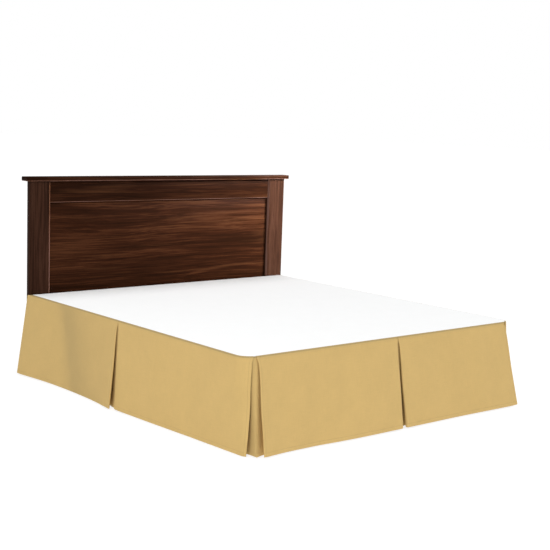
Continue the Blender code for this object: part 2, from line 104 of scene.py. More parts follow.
RIGHT_PLEAT = (
    (Hem(0.038, 0.065), Hem(0.110, 0.040)),
    (Hem(0.110, 0.028), Hem(0.050, 0.034), Hem(0.000, 0.036), Hem(-0.070, 0.032)),
    (Hem(-0.070, 0.042), Hem(0.011, 0.051)),
)
FOOT_LEFT_PANEL = (
    Hem(-0.906, 0.085), Hem(-0.880, 0.086), Hem(-0.830, 0.081), Hem(-0.750, 0.076),
    Hem(-0.650, 0.075), Hem(-0.550, 0.078), Hem(-0.430, 0.088), Hem(-0.300, 0.094),
    Hem(0.000, 0.095), Hem(0.012, 0.093),
)
FOOT_RIGHT_PANEL = (
    Hem(0.050, 0.094), Hem(0.250, 0.094), Hem(0.450, 0.093), Hem(0.650, 0.097),
    Hem(0.870, 0.104), Hem(0.940, 0.100),
)
FOOT_PLEAT = (
    (Hem(0.010, 0.083), Hem(-0.066, 0.068)),
    (Hem(-0.066, 0.054), Hem(0.050, 0.053), Hem(0.140, 0.051)),
    (Hem(0.140, 0.062), Hem(0.052, 0.076)),
)
INSERT_SIDE = (
    Hem(-0.925, 0.000), Hem(-0.960, -0.010), Hem(-1.000, -0.039), Hem(-1.080, -0.038),
)
INSERT_FOOT = (Hem(-0.934, 0.064), Hem(-0.882, 0.048), Hem(-0.806, 0.038))

# Soft folds down a panel: its layer of the strip, where along it the fold's crest stands,
# how wide it is before and after that, how many metres it stands out, how much painted shade
# darkens its colour there, and how far it leans along from top to hem. Places and widths are
# shares of the layer. A fold as wide as ALL gives its whole layer one painted shade.
Fold = namedtuple("Fold", "layer at before after height deep lean", defaults=(0.0,))
ALL = 9.0

# Painted shade inside each pleat: its two returns and its underlay are coloured darker.
PLEAT_PAINTED_SHADE = (
    Fold(1, 0.00, ALL, ALL, 0.0, 0.20), Fold(2, 0.50, ALL, ALL, 0.0, 0.30),
    Fold(3, 1.00, ALL, ALL, 0.0, 0.20),
)
# On the head panel, a leaning band of painted shade beside the valley and a lighter painted shade
# over the whole panel; the other folds are real.
LEFT_FOLDS = PLEAT_PAINTED_SHADE + (
    Fold(0, 0.42, 0.110, 0.130, -0.012, 0.0, 0.16), Fold(0, 0.50, 0.070, 0.200, 0.0, 0.28, 0.18),
    Fold(0, 0.18, 0.070, 0.070, 0.003, 0.0), Fold(0, 0.50, ALL, ALL, 0.0, 0.10),
    Fold(4, 0.30, 0.080, 0.080, 0.004, 0.0), Fold(4, 0.62, 0.090, 0.090, -0.004, 0.0),
    Fold(4, 1.00, 0.045, 0.045, 0.006, 0.0),
)
RIGHT_FOLDS = PLEAT_PAINTED_SHADE + (
    Fold(0, 0.40, 0.060, 0.060, -0.005, 0.0), Fold(0, 0.66, 0.060, 0.040, 0.005, 0.0),
    Fold(4, 0.35, 0.080, 0.080, 0.005, 0.0), Fold(4, 0.68, 0.080, 0.080, -0.004, 0.0),
)
FOOT_FOLDS = PLEAT_PAINTED_SHADE + (
    Fold(0, 0.00, 0.045, 0.045, 0.004, 0.0), Fold(0, 0.28, 0.090, 0.090, 0.005, 0.0),
    Fold(0, 0.60, 0.080, 0.080, -0.005, 0.0), Fold(4, 0.33, 0.080, 0.080, -0.004, 0.0),
    Fold(4, 0.70, 0.090, 0.090, 0.005, 0.0),
)
RIGHT_INSERT_FOLDS = (Fold(0, 1.00, 0.500, 0.500, -0.0035, 0.0),)
# The left insert's side half also gets painted shade, deepest furthest from the split and fading
# towards it.
LEFT_INSERT_FOLDS = RIGHT_INSERT_FOLDS + (
    Fold(0, 1.00, ALL, ALL, 0.0, 0.10), Fold(0, 0.45, ALL, 0.350, 0.0, 0.36),
)

# Rows of points: degrees round the top edge, then metres above the hem. Columns near a
# free end: metres from it. They lie close together along the stitches and along the edge
# of the cloth that is turned up, or in, on the inside.
ROLL_ANGLES = (90, 75, 62, 54, 46, 38, 30, 20, 10, 0)
HEM_LINES = (0.030, 0.0215, 0.0205, 0.0195, 0.018, 0.0165, 0.011, 0.005, 0.0015, 0.0)
END_LINES = (0.0, 0.0015, 0.006, 0.0115, 0.013, 0.0145, 0.0155, 0.0165)
HEM_STITCHES, END_STITCHES = 0.018, 0.013
HEM_TURNED, END_TURNED = 0.021, 0.016
# How far a row of stitches pulls the cloth in to its sides, and the columns at each end of
# a strip among which the stitches of that end are.
STITCH_PULL = 0.0012
END_COLUMNS = 40
# The seam under the top edge: where round the edge it lies and how wide it is, in degrees.
SEAM_ANGLE, SEAM_WIDTH = 46, 14
# How much painted shade darkens the colour over the top edge, along the seam and along the
# stitches; and the degrees round the edge from which that painted shade grows, and in how many.
OVER_PAINTED_SHADE, SEAM_PAINTED_SHADE, STITCH_PAINTED_SHADE = 0.75, 0.6, 0.35
OVER_FROM, OVER_WIDTH = -5, 30

# Slack cloth. Waves of its broad and fine bows, in a metre along and over the whole fall;
# its ripples and how they drift, in radians in a metre; and how far the ripples of the
# seam and of the hem reach, as shares of the fall.
BROAD_BOWS = (3.2, 0.7)
FINE_BOWS = (17.0, 1.6)
FINE_SHARE = 0.25
RIPPLES = 190.0
RIPPLE_DRIFT, DRIFT_WAVES = 2.5, 23.0
SEAM_REACH, HEM_REACH = 0.06, 0.05
SEAM_START, HEM_SHARE = 0.02, 0.5
# Soft folds and bows grow from the seam down to the first share of the fall, and wane from
# the second one to the hem, by the third.
FOLD_FALL = (0.14, 0.72, 0.85)
BOW_FALL = (0.30, 0.80, 0.60)
# Where pleats and splits slide open under the seam: metres along a panel in which that
# dies out, shares of the fall in which it grows and between which it dies out, and the
# later start of columns that are further than INNER_COLUMN metres from a free end.
SLIDE_REACH = 0.05
SLIDE_GROWS = 0.05
SLIDE_ENDS = (0.15, 0.60)
SLIDE_LATER = 0.03
INNER_COLUMN = 0.3

# The platform sheet: its rows and columns of points, those round a foot corner, and its
# last columns, as shares of its half width; waves of its slackness in a metre, how much of
# the drops' slackness it has, and how far from its rim it is held flat; how far in from its
# rim painted shade greys it, and how much.
PLATFORM_ROWS, PLATFORM_COLUMNS, PLATFORM_TURNS = 100, 96, 15
PLATFORM_INNER, PLATFORM_RIM = 0.985, (0.9935, 0.997, 1.0)
PLATFORM_WAVES, PLATFORM_SLACK, PLATFORM_HELD = (4.5, 3.5), 0.3, 0.03
RIM_SHADE_WIDTH, RIM_PAINTED_SHADE = 0.007, 0.5

# A stitch: how far along it each ring of points is and how wide there, its sides, and how
# much of its thread's thickness it stands out more than half sunk.
STITCH_RINGS = ((-0.5, 0.35), (-0.30, 1.0), (0.30, 1.0), (0.5, 0.35))
STITCH_SIDES = 5
STITCH_LIFT = 0.15

# Points that lie this close share a plane. Cloth and boards are shaded sharp where they
# turn by more than these degrees.
TOUCH = 1e-4
CLOTH_SHARP, BOARD_SHARP = 55, 35
# Facets of a cord round a corner of the foundation.
CORD_STEPS = 8


# ---- What a user may change --------------------------------------------------------

def number(name, description, default, unit="NONE"):
    """A plain number, or one in that unit."""
    return FloatProperty(name=name, description=description, default=default, unit=unit,
                         precision=4)


def length(name, description, default):
    """A length in metres."""
    return number(name, description, default, "LENGTH")


def share(name, description, default):
    """A share, from 0 to 1."""
    return FloatProperty(name=name, description=description, default=default, min=0, max=1)


def angle(name, description, degrees):
    """An angle, given in degrees."""
    return FloatProperty(name=name, description=description,
                         default=math.radians(degrees), subtype="ANGLE")


def colour(name, description, default):
    """A colour, in linear light."""
    return FloatVectorProperty(name=name, description=description, default=default,
                               subtype="COLOR", size=3, min=0, max=1)


class SkirtSizes(bpy.types.PropertyGroup):
    """Sizes of the skirt, as in the solids."""

    bed_width: length("Bed width", "Over the drops at the top edge", 1.944)
    foot_edge: length("Foot edge", "Bed's centre to the drop at the foot", 1.016)
    head_edge: length("Head edge", "Bed's centre to the platform's edge at the head", 1.036)
    top_z: length("Top height", "Upper face of the platform sheet", 0.470)
    corner_radius: length("Corner radius", "Foot corners, in plan", 0.080)
    split_angle: angle("Split angle", "Where a foot corner is split, round from its side", 78)
    split_gap: length("Split gap", "Between the drops at the top of a split", 0.016)
    cloth: length("Cloth", "Thickness of a sheet", 0.0015)
    layer_step: length("Layer step", "One layer of a pleat to the next", 0.0023)
    roll: length("Roll", "Radius on which a drop turns down", 0.008)
    seam_gap: length("Seam gap", "Platform sheet to the drops", 0.0005)
    sewn_step: length("Sewn step", "Drop to the insert sewn under it, past the cloth", 0.0004)
    shoulder: length("Shoulder", "How far the left drop stands off at the head end", 0.024)
    shoulder_right: length("Right shoulder", "The same on the right", 0.004)
    shoulder_reach: length("Shoulder reach", "Where along the side that dies away", 0.16)
    shoulder_lift: share("Shoulder lift", "Rise for each metre that it stands off", 0.4)
    hem_lift: length("Hem lift", "Hem over the floor where a drop hangs plumb", 0.004)
    hem_rise: share("Hem rise", "More lift for each metre that the hem stands out", 0.05)
    pleat_gap: length("Pleat gap", "Between a pleat's two folds at the top", 0.005)
    pleat_return: length("Pleat return", "How far a pleat folds back", 0.085)
    pleat_spread: length("Pleat spread", "How far each fold slides open below the seam", 0.0055)
    split_spread: length("Split spread", "How far its ends slide below the seam", 0.008)
    left_pleat: length("Left pleat", "Where it meets the top edge, to the head", 0.071)
    right_pleat: length("Right pleat", "Where it meets the top edge, to the head", 0.050)
    foot_pleat: length("Foot pleat", "Where it meets the top edge, to the right", 0.040)
    insert_half: length("Insert half", "Half of a corner insert's width at the top", 0.120)
    column: length("Column", "Widest column of points", 0.009)
    row: length("Row", "Widest row of points", 0.011)
    fold_steps: IntProperty(name="Fold steps", description="Facets round a fold", default=8)
    fold_round: number("Fold round", "Tangent over width of a fold at the hem", 1.2)
    hem_turn: length("Turned hem", "Extra thickness where the cloth is turned up", 0.0009)
    groove: length("Stitch groove", "How deep a row of stitches draws the cloth in", 0.0005)
    slack: length("Slack", "How far the panels bow in and out on their own", 0.0014)
    pucker: length("Pucker", "Ripples of a sewn edge", 0.0002)
    hem_cut: length("Hem cut", "Cloth turned up at the hem and let into the seam", 0.035)
    end_cut: length("End cut", "Cloth turned in at a free end", 0.016)
    stitch_pitch: length("Stitch pitch", "One stitch to the next", 0.0036)
    stitch: length("Stitch", "Length of one stitch", 0.0025)
    thread: length("Thread", "Thickness of the sewing thread", 0.0006)


class BedSizes(bpy.types.PropertyGroup):
    """Sizes of the details on the bed."""

    cover_corner: length("Cover corner", "Corner radius of the foundation, in plan", 0.0675)
    cover_edge: length("Cover edge", "Rounding of the foundation's edges", 0.014)
    piping: length("Piping", "Thickness of the cord round the foundation", 0.008)
    post_chamfer: length("Post chamfer", "Inner front edge of the posts", 0.010)
    board_ease: length("Board ease", "Rounding of the boards' other edges", 0.0015)
    cap_ease: length("Cap ease", "Rounding of the cap's edges", 0.004)
    rail_ease: length("Rail ease", "Rounding of the rails' front edges", 0.004)
    bolt_across: length("Bolt head", "Over the corners of a bolt's head", 0.015)
    bolt_height: length("Bolt height", "Height of a bolt's head", 0.006)
    washer: length("Washer", "Across a washer", 0.022)
    bolt_ease: length("Bolt ease", "Rounding of a bolt's head", 0.0008)
    washer_height: length("Washer height", "Thickness of a washer", 0.0016)
    washer_ease: length("Washer ease", "Rounding of a washer", 0.0004)
    bolts: FloatVectorProperty(name="Bolts", description="Where up a bracket its two bolts are",
                               default=(0.25, 0.75), size=2)


class Finishes(bpy.types.PropertyGroup):
    """Colours and roughness of the finishes."""

    gold: colour("Gold", "Dyed cotton of the drops", (0.680, 0.468, 0.179))
    # Painted shade: the colour the drops are darkened towards over the top edge, along seams and
    # stitches, inside pleats and in some folds.
    gold_deep: colour("Deep gold", "The cloth's seams and folds", (0.345, 0.258, 0.118))
    dye: share("Uneven dye", "How much the colour of a cloth varies", 0.045)
    white: colour("White", "Platform sheet", (0.945, 0.950, 0.950))
    ticking: colour("Ticking", "Cover of the foundation", (0.780, 0.750, 0.690))
    piping: colour("Piping", "Cord round the foundation", (0.560, 0.530, 0.480))
    steel: colour("Steel", "Black powder coat", (0.030, 0.030, 0.033))
    zinc: colour("Zinc", "Plated bolts", (0.560, 0.570, 0.580))
    walnut_dark: colour("Dark walnut", "Late wood", (0.0140, 0.0047, 0.0019))
    walnut: colour("Walnut", "Most of the wood", (0.0320, 0.0096, 0.0038))
    walnut_light: colour("Light walnut", "Early wood", (0.1120, 0.0430, 0.0175))
    post_dark: colour("Dark post", "Late wood of the posts", (0.0180, 0.0072, 0.0041))
    post: colour("Post", "Most of the posts' wood", (0.0360, 0.0146, 0.0083))
    post_light: colour("Light post", "Early wood of the posts", (0.0675, 0.0315, 0.0198))
    # Painted highlight: the lighter colour of the post's inner chamfer, the cap's lower edges and
    # the rails' front edges, where light catches them.
    edge: colour("Rubbed edge", "Eased edges of the boards", (0.1500, 0.0780, 0.0600))
    threads: number("Threads", "Threads of the cloth in a metre", 1800.0)
    cloth_rough: share("Cloth roughness", "Of the drops and the platform", 0.85)
    cloth_sheen: share("Cloth sheen", "Nap of the drops", 0.05)
    wood_rough: share("Wood roughness", "Satin lacquer", 0.36)
    wood_gloss: share("Wood gloss", "Specular level of the lacquer", 0.015)


class Studio(bpy.types.PropertyGroup):
    """Camera and light."""

    place: FloatVectorProperty(name="Camera", description="Where the camera stands",
                               default=(-4.162, -4.964, 1.565), subtype="XYZ", unit="LENGTH")
    yaw: angle("Yaw", "Camera's side of the bed, round from its foot", -40.234)
    pitch: angle("Pitch", "How far it looks down", 7.895)
    roll: angle("Roll", "How far it leans", 2.053)
    lens: number("Lens", "Focal length", 73.886, "CAMERA")
    sensor: number("Sensor", "Width of the film", 36.0, "CAMERA")
    floor: colour("Floor", "Paper of the floor", (0.30, 0.30, 0.30))
    glow: number("Glow", "Light through the floor's paper", 0.78)
    sky: number("Sky", "Light from all round", 0.18)
    top: number("Top", "Wide light from above", 2.34)
    key: number("Key", "Softbox at the left", 185.0, "POWER")
    fill: number("Fill", "Softbox at the right", 58.0, "POWER")
    accent: number("Accent", "Softbox on the headboard's right half", 138.0, "POWER")


GROUPS = (
    ("skirt_sizes", SkirtSizes), ("bed_sizes", BedSizes),
    ("finishes", Finishes), ("studio", Studio),
)


# ---- Materials ---------------------------------------------------------------------

def shade(plain, factor=1.0):
    """A colour made darker or lighter by that factor."""
    return tuple(value * factor for value in plain)


class Graph:
    """A node tree in the making: nodes are added, and fed with values or other sockets."""

    def __init__(self, tree):
        self.tree = tree

    def add(self, kind, **settings):
        made = self.tree.nodes.new("ShaderNode" + kind)
        for name, value in settings.items():
            setattr(made, name, value)
        return made

    def feed(self, socket, value):
        """Link a socket to another, or set it to a value."""
        if isinstance(value, bpy.types.NodeSocket):
            self.tree.links.new(value, socket)
        elif socket.type == "RGBA":
            socket.default_value = (*value, 1.0)
        else:
            socket.default_value = value

    def feed_all(self, node, values):
        for name, value in values.items():
            self.feed(node.inputs[name], value)
        return node

    def calc(self, operation, *values):
        made = self.add("Math", operation=operation)
        return self.feed_all(made, dict(enumerate(values))).outputs[0]

    def combine(self, operation, *vectors):
        made = self.add("VectorMath", operation=operation)
        return self.feed_all(made, dict(enumerate(vectors)))

    def cloud(self, vector, scale, detail=2.0, rough=0.5):
        """Noise from 0 to 1, of one scale or of one along each axis."""
        if isinstance(scale, tuple):
            vector, scale = self.combine("MULTIPLY", vector, scale).outputs[0], 1.0
        values = {"Vector": vector, "Scale": scale, "Detail": detail, "Roughness": rough}
        return self.feed_all(self.add("TexNoise"), values).outputs["Fac"]

    def spread(self, value, low, high, new_low=0.0, new_high=1.0):
        """A value stretched from one span to another, and held there."""
        values = {"Value": value, "From Min": low, "From Max": high,
                  "To Min": new_low, "To Max": new_high}
        return self.feed_all(self.add("MapRange"), values).outputs["Result"]

    def blend(self, amount, first, second):
        """A colour between two others."""
        made = self.add("Mix", data_type="RGBA")
        self.feed(made.inputs["Factor"], amount)
        ends = [socket for socket in made.inputs if socket.type == "RGBA"]
        for socket, value in zip(ends, (first, second)):
            self.feed(socket, value)
        return next(socket for socket in made.outputs if socket.type == "RGBA")

    def place(self):
        """Coordinates of the piece itself."""
        return self.add("TexCoord").outputs["Object"]

    def bump(self, shader, height, distance, strength):
        values = {"Distance": distance, "Strength": strength, "Height": height}
        made = self.feed_all(self.add("Bump"), values)
        self.feed(shader.inputs["Normal"], made.outputs["Normal"])


def new_group(name, inputs, outputs):
    """A shader group with those sockets: its graph, and its input and output nodes."""
    tree = bpy.data.node_groups.new(name, "ShaderNodeTree")
    for label, kind, default in inputs:
        socket = tree.interface.new_socket(label, in_out="INPUT", socket_type="NodeSocket" + kind)
        if default is not None:
            socket.default_value = default
    for label, kind in outputs:
        tree.interface.new_socket(label, in_out="OUTPUT", socket_type="NodeSocket" + kind)
    given, result = (tree.nodes.new("NodeGroup" + end) for end in ("Input", "Output"))
    return Graph(tree), given.outputs, result


def weave_group(name):
    """Plain weave: a bump for each crossing of threads, and how thick each thread is."""
    graph, given, result = new_group(
        name,
        (("Vector", "Vector", None), ("Threads", "Float", 1800.0), ("Slubs", "Float", 0.3)),
        (("Height", "Float"), ("Tone", "Float")))
    parts = graph.feed_all(graph.add("SeparateXYZ"), {0: given["Vector"]}).outputs
    turn = graph.calc("MULTIPLY", given["Threads"], math.pi)
    warp, weft = (graph.calc("SINE", graph.calc("MULTIPLY", parts[axis], turn)) for axis in "XY")
    crossing = graph.calc("MULTIPLY", warp, weft)
    bump = graph.calc("SQRT", graph.calc("ABSOLUTE", crossing))
    warp_slub = graph.cloud(given["Vector"], (300.0, 18.0, 1.0))
    weft_slub = graph.cloud(given["Vector"], (18.0, 300.0, 1.0))
    slub = graph.calc("SUBTRACT", graph.calc("ADD", warp_slub, weft_slub), 1.0)
    uneven = graph.calc("MULTIPLY", slub, given["Slubs"])
    tone = graph.calc("MULTIPLY_ADD", crossing, 0.12, graph.calc("ADD", uneven, 0.5))
    graph.feed_all(result, {"Height": graph.calc("ADD", bump, uneven), "Tone": tone})
    return graph.tree


# Marks of the grain: how many there are in a metre along it and across, and the detail and
# roughness of their noise.
GRAIN_MARKS = {
    "band": (0.6, 9.0, 2.0, 0.5), "golden": (0.9, 24.0, 2.0, 0.5),
    "streak": (1.3, 46.0, 3.0, 0.65), "line": (2.4, 120.0, 3.0, 0.7),
    "fibre": (12.0, 480.0, 2.0, 0.6), "pore": (38.0, 950.0, 1.0, 0.5),
}


def grain_group(name):
    """Straight walnut grain along X: broad bands, streaks, fine fibres and dark pores."""
    graph, given, result = new_group(
        name,
        (("Vector", "Vector", None), ("Dark", "Color", None), ("Middle", "Color", None),
         ("Light", "Color", None)),
        (("Color", "Color"), ("Height", "Float"), ("Gloss", "Float")))
    dark, light = given["Dark"], given["Light"]
    drift = graph.cloud(given["Vector"], (1.3, 3.0, 3.0), 1.0)
    lean = graph.calc("MULTIPLY", graph.calc("SUBTRACT", drift, 0.5), 0.055)
    bend = graph.feed_all(graph.add("CombineXYZ"), {"Y": lean, "Z": lean})
    wavy = graph.combine("ADD", given["Vector"], bend.outputs[0]).outputs[0]
    marks = {mark: graph.cloud(wavy, (along, across, across), detail, rough)
             for mark, (along, across, detail, rough) in GRAIN_MARKS.items()}
    streak, line, fibre = marks["streak"], marks["line"], marks["fibre"]
    pores = graph.spread(marks["pore"], 0.64, 0.74)
    finer = graph.calc("MULTIPLY_ADD", line, 0.38, graph.calc("MULTIPLY", streak, 0.28))
    mixed = graph.calc("MULTIPLY_ADD", marks["band"], 0.34, finer)
    lines = graph.calc("MULTIPLY_ADD", fibre, 0.3, graph.calc("MULTIPLY", line, 0.7))
    late = graph.blend(graph.spread(mixed, 0.40, 0.54), dark, given["Middle"])
    early = graph.blend(graph.spread(mixed, 0.50, 0.70, 0.0, 0.6), late, light)
    lit = graph.blend(graph.spread(marks["golden"], 0.57, 0.74, 0.0, 0.5), early, light)
    fine = graph.blend(graph.spread(lines, 0.50, 0.34, 0.0, 0.70), lit, dark)
    graph.feed_all(result, {
        "Color": graph.blend(graph.calc("MULTIPLY", pores, 0.6), fine, dark),
        "Height": graph.calc("SUBTRACT", graph.calc("MULTIPLY", fibre, 0.4), pores),
        "Gloss": graph.spread(streak, 0.3, 0.7, -0.05, 0.05),
    })
    return graph.tree


def shared(name, make, *values):
    """The material or group of that name, made the first time it is asked for."""
    known = bpy.data.materials.get(name) or bpy.data.node_groups.get(name)
    return known or make(name, *values)


def start_material(name, roughness, **constants):
    """A material, its graph and its shader, with constants on the shader's own sockets."""
    material = bpy.data.materials.new(name)
    material.use_nodes = True
    graph = Graph(material.node_tree)
    shader = material.node_tree.nodes["Principled BSDF"]
    shader.inputs["Roughness"].default_value = roughness
    for socket, value in constants.items():
        shader.inputs[socket.replace("_", " ")].default_value = value
    return material, graph, shader


def place_group(graph, tree, **inputs):
    """The outputs of an instance of a node group, with its inputs fed."""
    return graph.feed_all(graph.add("Group", node_tree=tree), inputs).outputs


def woven(name, plain, deep, dye, finishes, sheen=0.0):
    """A plain-woven cloth with faint uneven dye, and painted shade along its seams and in its
    folds.
    """
    material, graph, shader = start_material(name, finishes.cloth_rough, Specular_IOR_Level=0.15,
                                             Sheen_Weight=sheen, Sheen_Roughness=0.5)
    laid = graph.add("UVMap", uv_map="cloth").outputs[0]
    threads = place_group(graph, shared("Plain weave", weave_group), Vector=laid,
                          Threads=finishes.threads, Slubs=0.8)
    tone = graph.calc("MULTIPLY", threads["Tone"], 0.5)
    mixed = graph.calc("MULTIPLY_ADD", graph.cloud(laid, (9.0, 7.0, 1.0), 4.0, 0.6), 0.5, tone)
    dyed = graph.blend(graph.spread(mixed, 0.32, 0.68),
                       shade(plain, 1 - dye), shade(plain, 1 + dye))
    # The depth attribute is painted shade: it darkens the cloth towards the deep colour.
    depth = graph.add("Attribute", attribute_name="depth").outputs["Fac"]
    graph.feed(shader.inputs["Base Color"], graph.blend(depth, dyed, deep))
    graph.bump(shader, threads["Height"], 0.00025, 0.5)
    return material


def knitted(name, plain, finishes):
    """The foundation's cover, with threads that run up its sides and round them."""
    material, graph, shader = start_material(name, finishes.cloth_rough)
    place = graph.place()
    across = graph.combine("DOT_PRODUCT", place, (1.0, 1.0, 0.0)).outputs["Value"]
    upward = graph.feed_all(graph.add("SeparateXYZ"), {0: place}).outputs["Z"]
    flat = graph.feed_all(graph.add("CombineXYZ"), {"X": across, "Y": upward}).outputs[0]
    threads = place_group(graph, shared("Plain weave", weave_group), Vector=flat,
                          Threads=900.0, Slubs=0.5)
    graph.feed(shader.inputs["Base Color"], graph.blend(threads["Tone"], shade(plain, 0.88), plain))
    graph.bump(shader, threads["Height"], 0.0005, 0.5)
    return material


def powder_coated(name, paint):
    """Black powder coat with its orange peel and a few dusty places."""
    material, graph, shader = start_material(name, 0.45)
    place = graph.place()
    dust = graph.spread(graph.cloud(place, 9.0, 4.0), 0.5, 0.8)
    dusty = tuple(value + 0.04 for value in paint)
    graph.feed_all(shader, {"Base Color": graph.blend(dust, paint, dusty),
                            "Roughness": graph.spread(dust, 0.0, 1.0, 0.42, 0.62)})
    graph.bump(shader, graph.cloud(place, 700.0), 0.0003, 0.35)
    return material


def plated(name, metal):
    """Zinc-plated steel, faintly brushed."""
    material, graph, shader = start_material(name, 0.35, Metallic=1.0)
    brushed = graph.cloud(graph.place(), (400.0, 400.0, 4000.0))
    graph.feed_all(shader, {"Base Color": graph.blend(brushed, shade(metal, 0.8), metal),
                            "Roughness": graph.spread(brushed, 0.3, 0.7, 0.28, 0.45)})
    return material


def twisted(name, plain):
    """Twisted sewing thread."""
    material, graph, shader = start_material(name, 0.7)
    ply = graph.cloud(graph.place(), 2500.0, 1.0)
    graph.feed(shader.inputs["Base Color"], graph.blend(ply, shade(plain, 0.8), plain))
    return material


def walnut(name, colours, finishes, upright, offset):
    """Lacquered walnut with its grain along the board, in dark, middle and light colours."""
    rough = finishes.wood_rough
    material, graph, shader = start_material(name, rough, Specular_IOR_Level=finishes.wood_gloss)
    turned = (0.0, math.pi / 2 if upright else 0.0, 0.0)
    laid = graph.feed_all(graph.add("Mapping"), {
        "Vector": graph.place(), "Location": offset, "Rotation": turned})
    dark, middle, light = colours
    board = place_group(graph, shared("Walnut grain", grain_group), Vector=laid.outputs[0],
                        Dark=dark, Middle=middle, Light=light)
    graph.feed_all(shader, {"Base Color": board["Color"],
                            "Roughness": graph.calc("ADD", board["Gloss"], rough)})
    graph.bump(shader, board["Height"], 0.0002, 0.4)
    return material


def gold_cloth(finishes):
    return shared("gold_cotton", woven, shade(finishes.gold), shade(finishes.gold_deep),
                  finishes.dye, finishes, finishes.cloth_sheen)


def white_cloth(finishes):
    # Its deep colour is the painted shade along the platform sheet's rim.
    return shared("white_cotton", woven, shade(finishes.white), shade(finishes.white, 0.8),
                  finishes.dye / 4, finishes)


def gold_thread(finishes):
    return shared("gold_thread", twisted, shade(finishes.gold, 0.92))


def dress(piece, slot, *materials):
    """Give a piece its materials and its place on the part. Its slot is not used."""
    for material in materials:
        piece.data.materials.append(material)
    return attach(piece, "root")


def link_piece(name, data):
    """A new object with that name and data, in the scene."""
    piece = bpy.data.objects.new(name, data)
    bpy.context.scene.collection.objects.link(piece)
    return piece


# ---- The top edge ------------------------------------------------------------------

class TopEdge:
    """The drops' top edge in plan, measured round it from the left side's head end."""

    def __init__(self, sizes):
        self.radius = sizes.corner_radius
        self.side_x = sizes.bed_width / 2
        self.foot = sizes.foot_edge
        self.head = sizes.head_edge
        self.side_run = self.head + self.foot - self.radius
        self.arc_run = self.radius * math.pi / 2
        self.length = 2 * (self.side_run + self.arc_run) + sizes.bed_width - 2 * self.radius
        self.split_run = self.side_run + self.radius * sizes.split_angle
        self.centre_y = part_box("platform")[1].y - self.head

    def at(self, run):
        """Point and outward direction, `run` metres round the edge."""
        if run > self.length / 2:
            point, outward = self.at(self.length - run)
            return Vector((-point.x, point.y)), Vector((-outward.x, outward.y))
        if run <= self.side_run:
            return Vector((-self.side_x, self.head - run)), Vector((-1, 0))
        if run <= self.side_run + self.arc_run:
            turn = (run - self.side_run) / self.radius
            centre = Vector((-self.side_x + self.radius, -self.foot + self.radius))
            outward = Vector((-math.cos(turn), -math.sin(turn)))
            return centre + self.radius * outward, outward
        along = run - self.side_run - self.arc_run
        return Vector((-self.side_x + self.radius + along, -self.foot)), Vector((0, -1))


# ---- Cloth ---------------------------------------------------------------------------

# One layer of a strip: how deep it lies at the top, where it starts and ends along the
# top edge, the side whose plan its hem is given in, and that plan.
Layer = namedtuple("Layer", "depth start end side hem")
# One column of a strip: where it is on the top edge, how deep it lies there, the plan
# of its hem, the soft folds of its layer and how far along it stands, how far it
# slides along when a pleat opens, and its distance from the strip's nearer end.
Column = namedtuple("Column", "run depth plan folds fraction slide inside")


def smooth(low, high, value):
    """0 below low, 1 above high, and eased between them."""
    t = min(1.0, max(0.0, (value - low) / (high - low)))
    return t * t * (3 - 2 * t)


def hermite(start, leave, end, enter, t):
    """A cubic from start to end with those tangents, at t from 0 to 1."""
    return (start * (2 * t ** 3 - 3 * t ** 2 + 1) + leave * (t ** 3 - 2 * t ** 2 + t)
            + end * (3 * t ** 2 - 2 * t ** 3) + enter * (t ** 3 - t ** 2))


def curve_at(rows, along):
    """A smooth curve through rows of (along, out), read at one place."""
    rows = sorted(rows)
    index = max(i for i in range(len(rows) - 1) if i == 0 or rows[i].along <= along)

    def slope(i):
        low, high = rows[max(i - 1, 0)], rows[min(i + 1, len(rows) - 1)]
        return (high.out - low.out) / (high.along - low.along)

    first, last = rows[index], rows[index + 1]
    span = last.along - first.along
    return hermite(first.out, span * slope(index), last.out, span * slope(index + 1),
                   (along - first.along) / span)


def folded(column, fall):
    """How far soft folds push a column out there, and how much painted shade they give it."""
    bulge = deep = 0.0
    for fold in column.folds:
        away = column.fraction - fold.at - fold.lean * (fall - 0.5)
        width = fold.before if away < 0 else fold.after
        crest = math.exp(-(away / width) ** 2)
        bulge += fold.height * crest
        deep += fold.deep * crest
    return bulge, deep


def hung_free(fall, grown, waning, loss):
    """How free the cloth is, that share of the way down."""
    return smooth(0.0, grown, fall) * (1 - loss * smooth(waning, 1.0, fall))


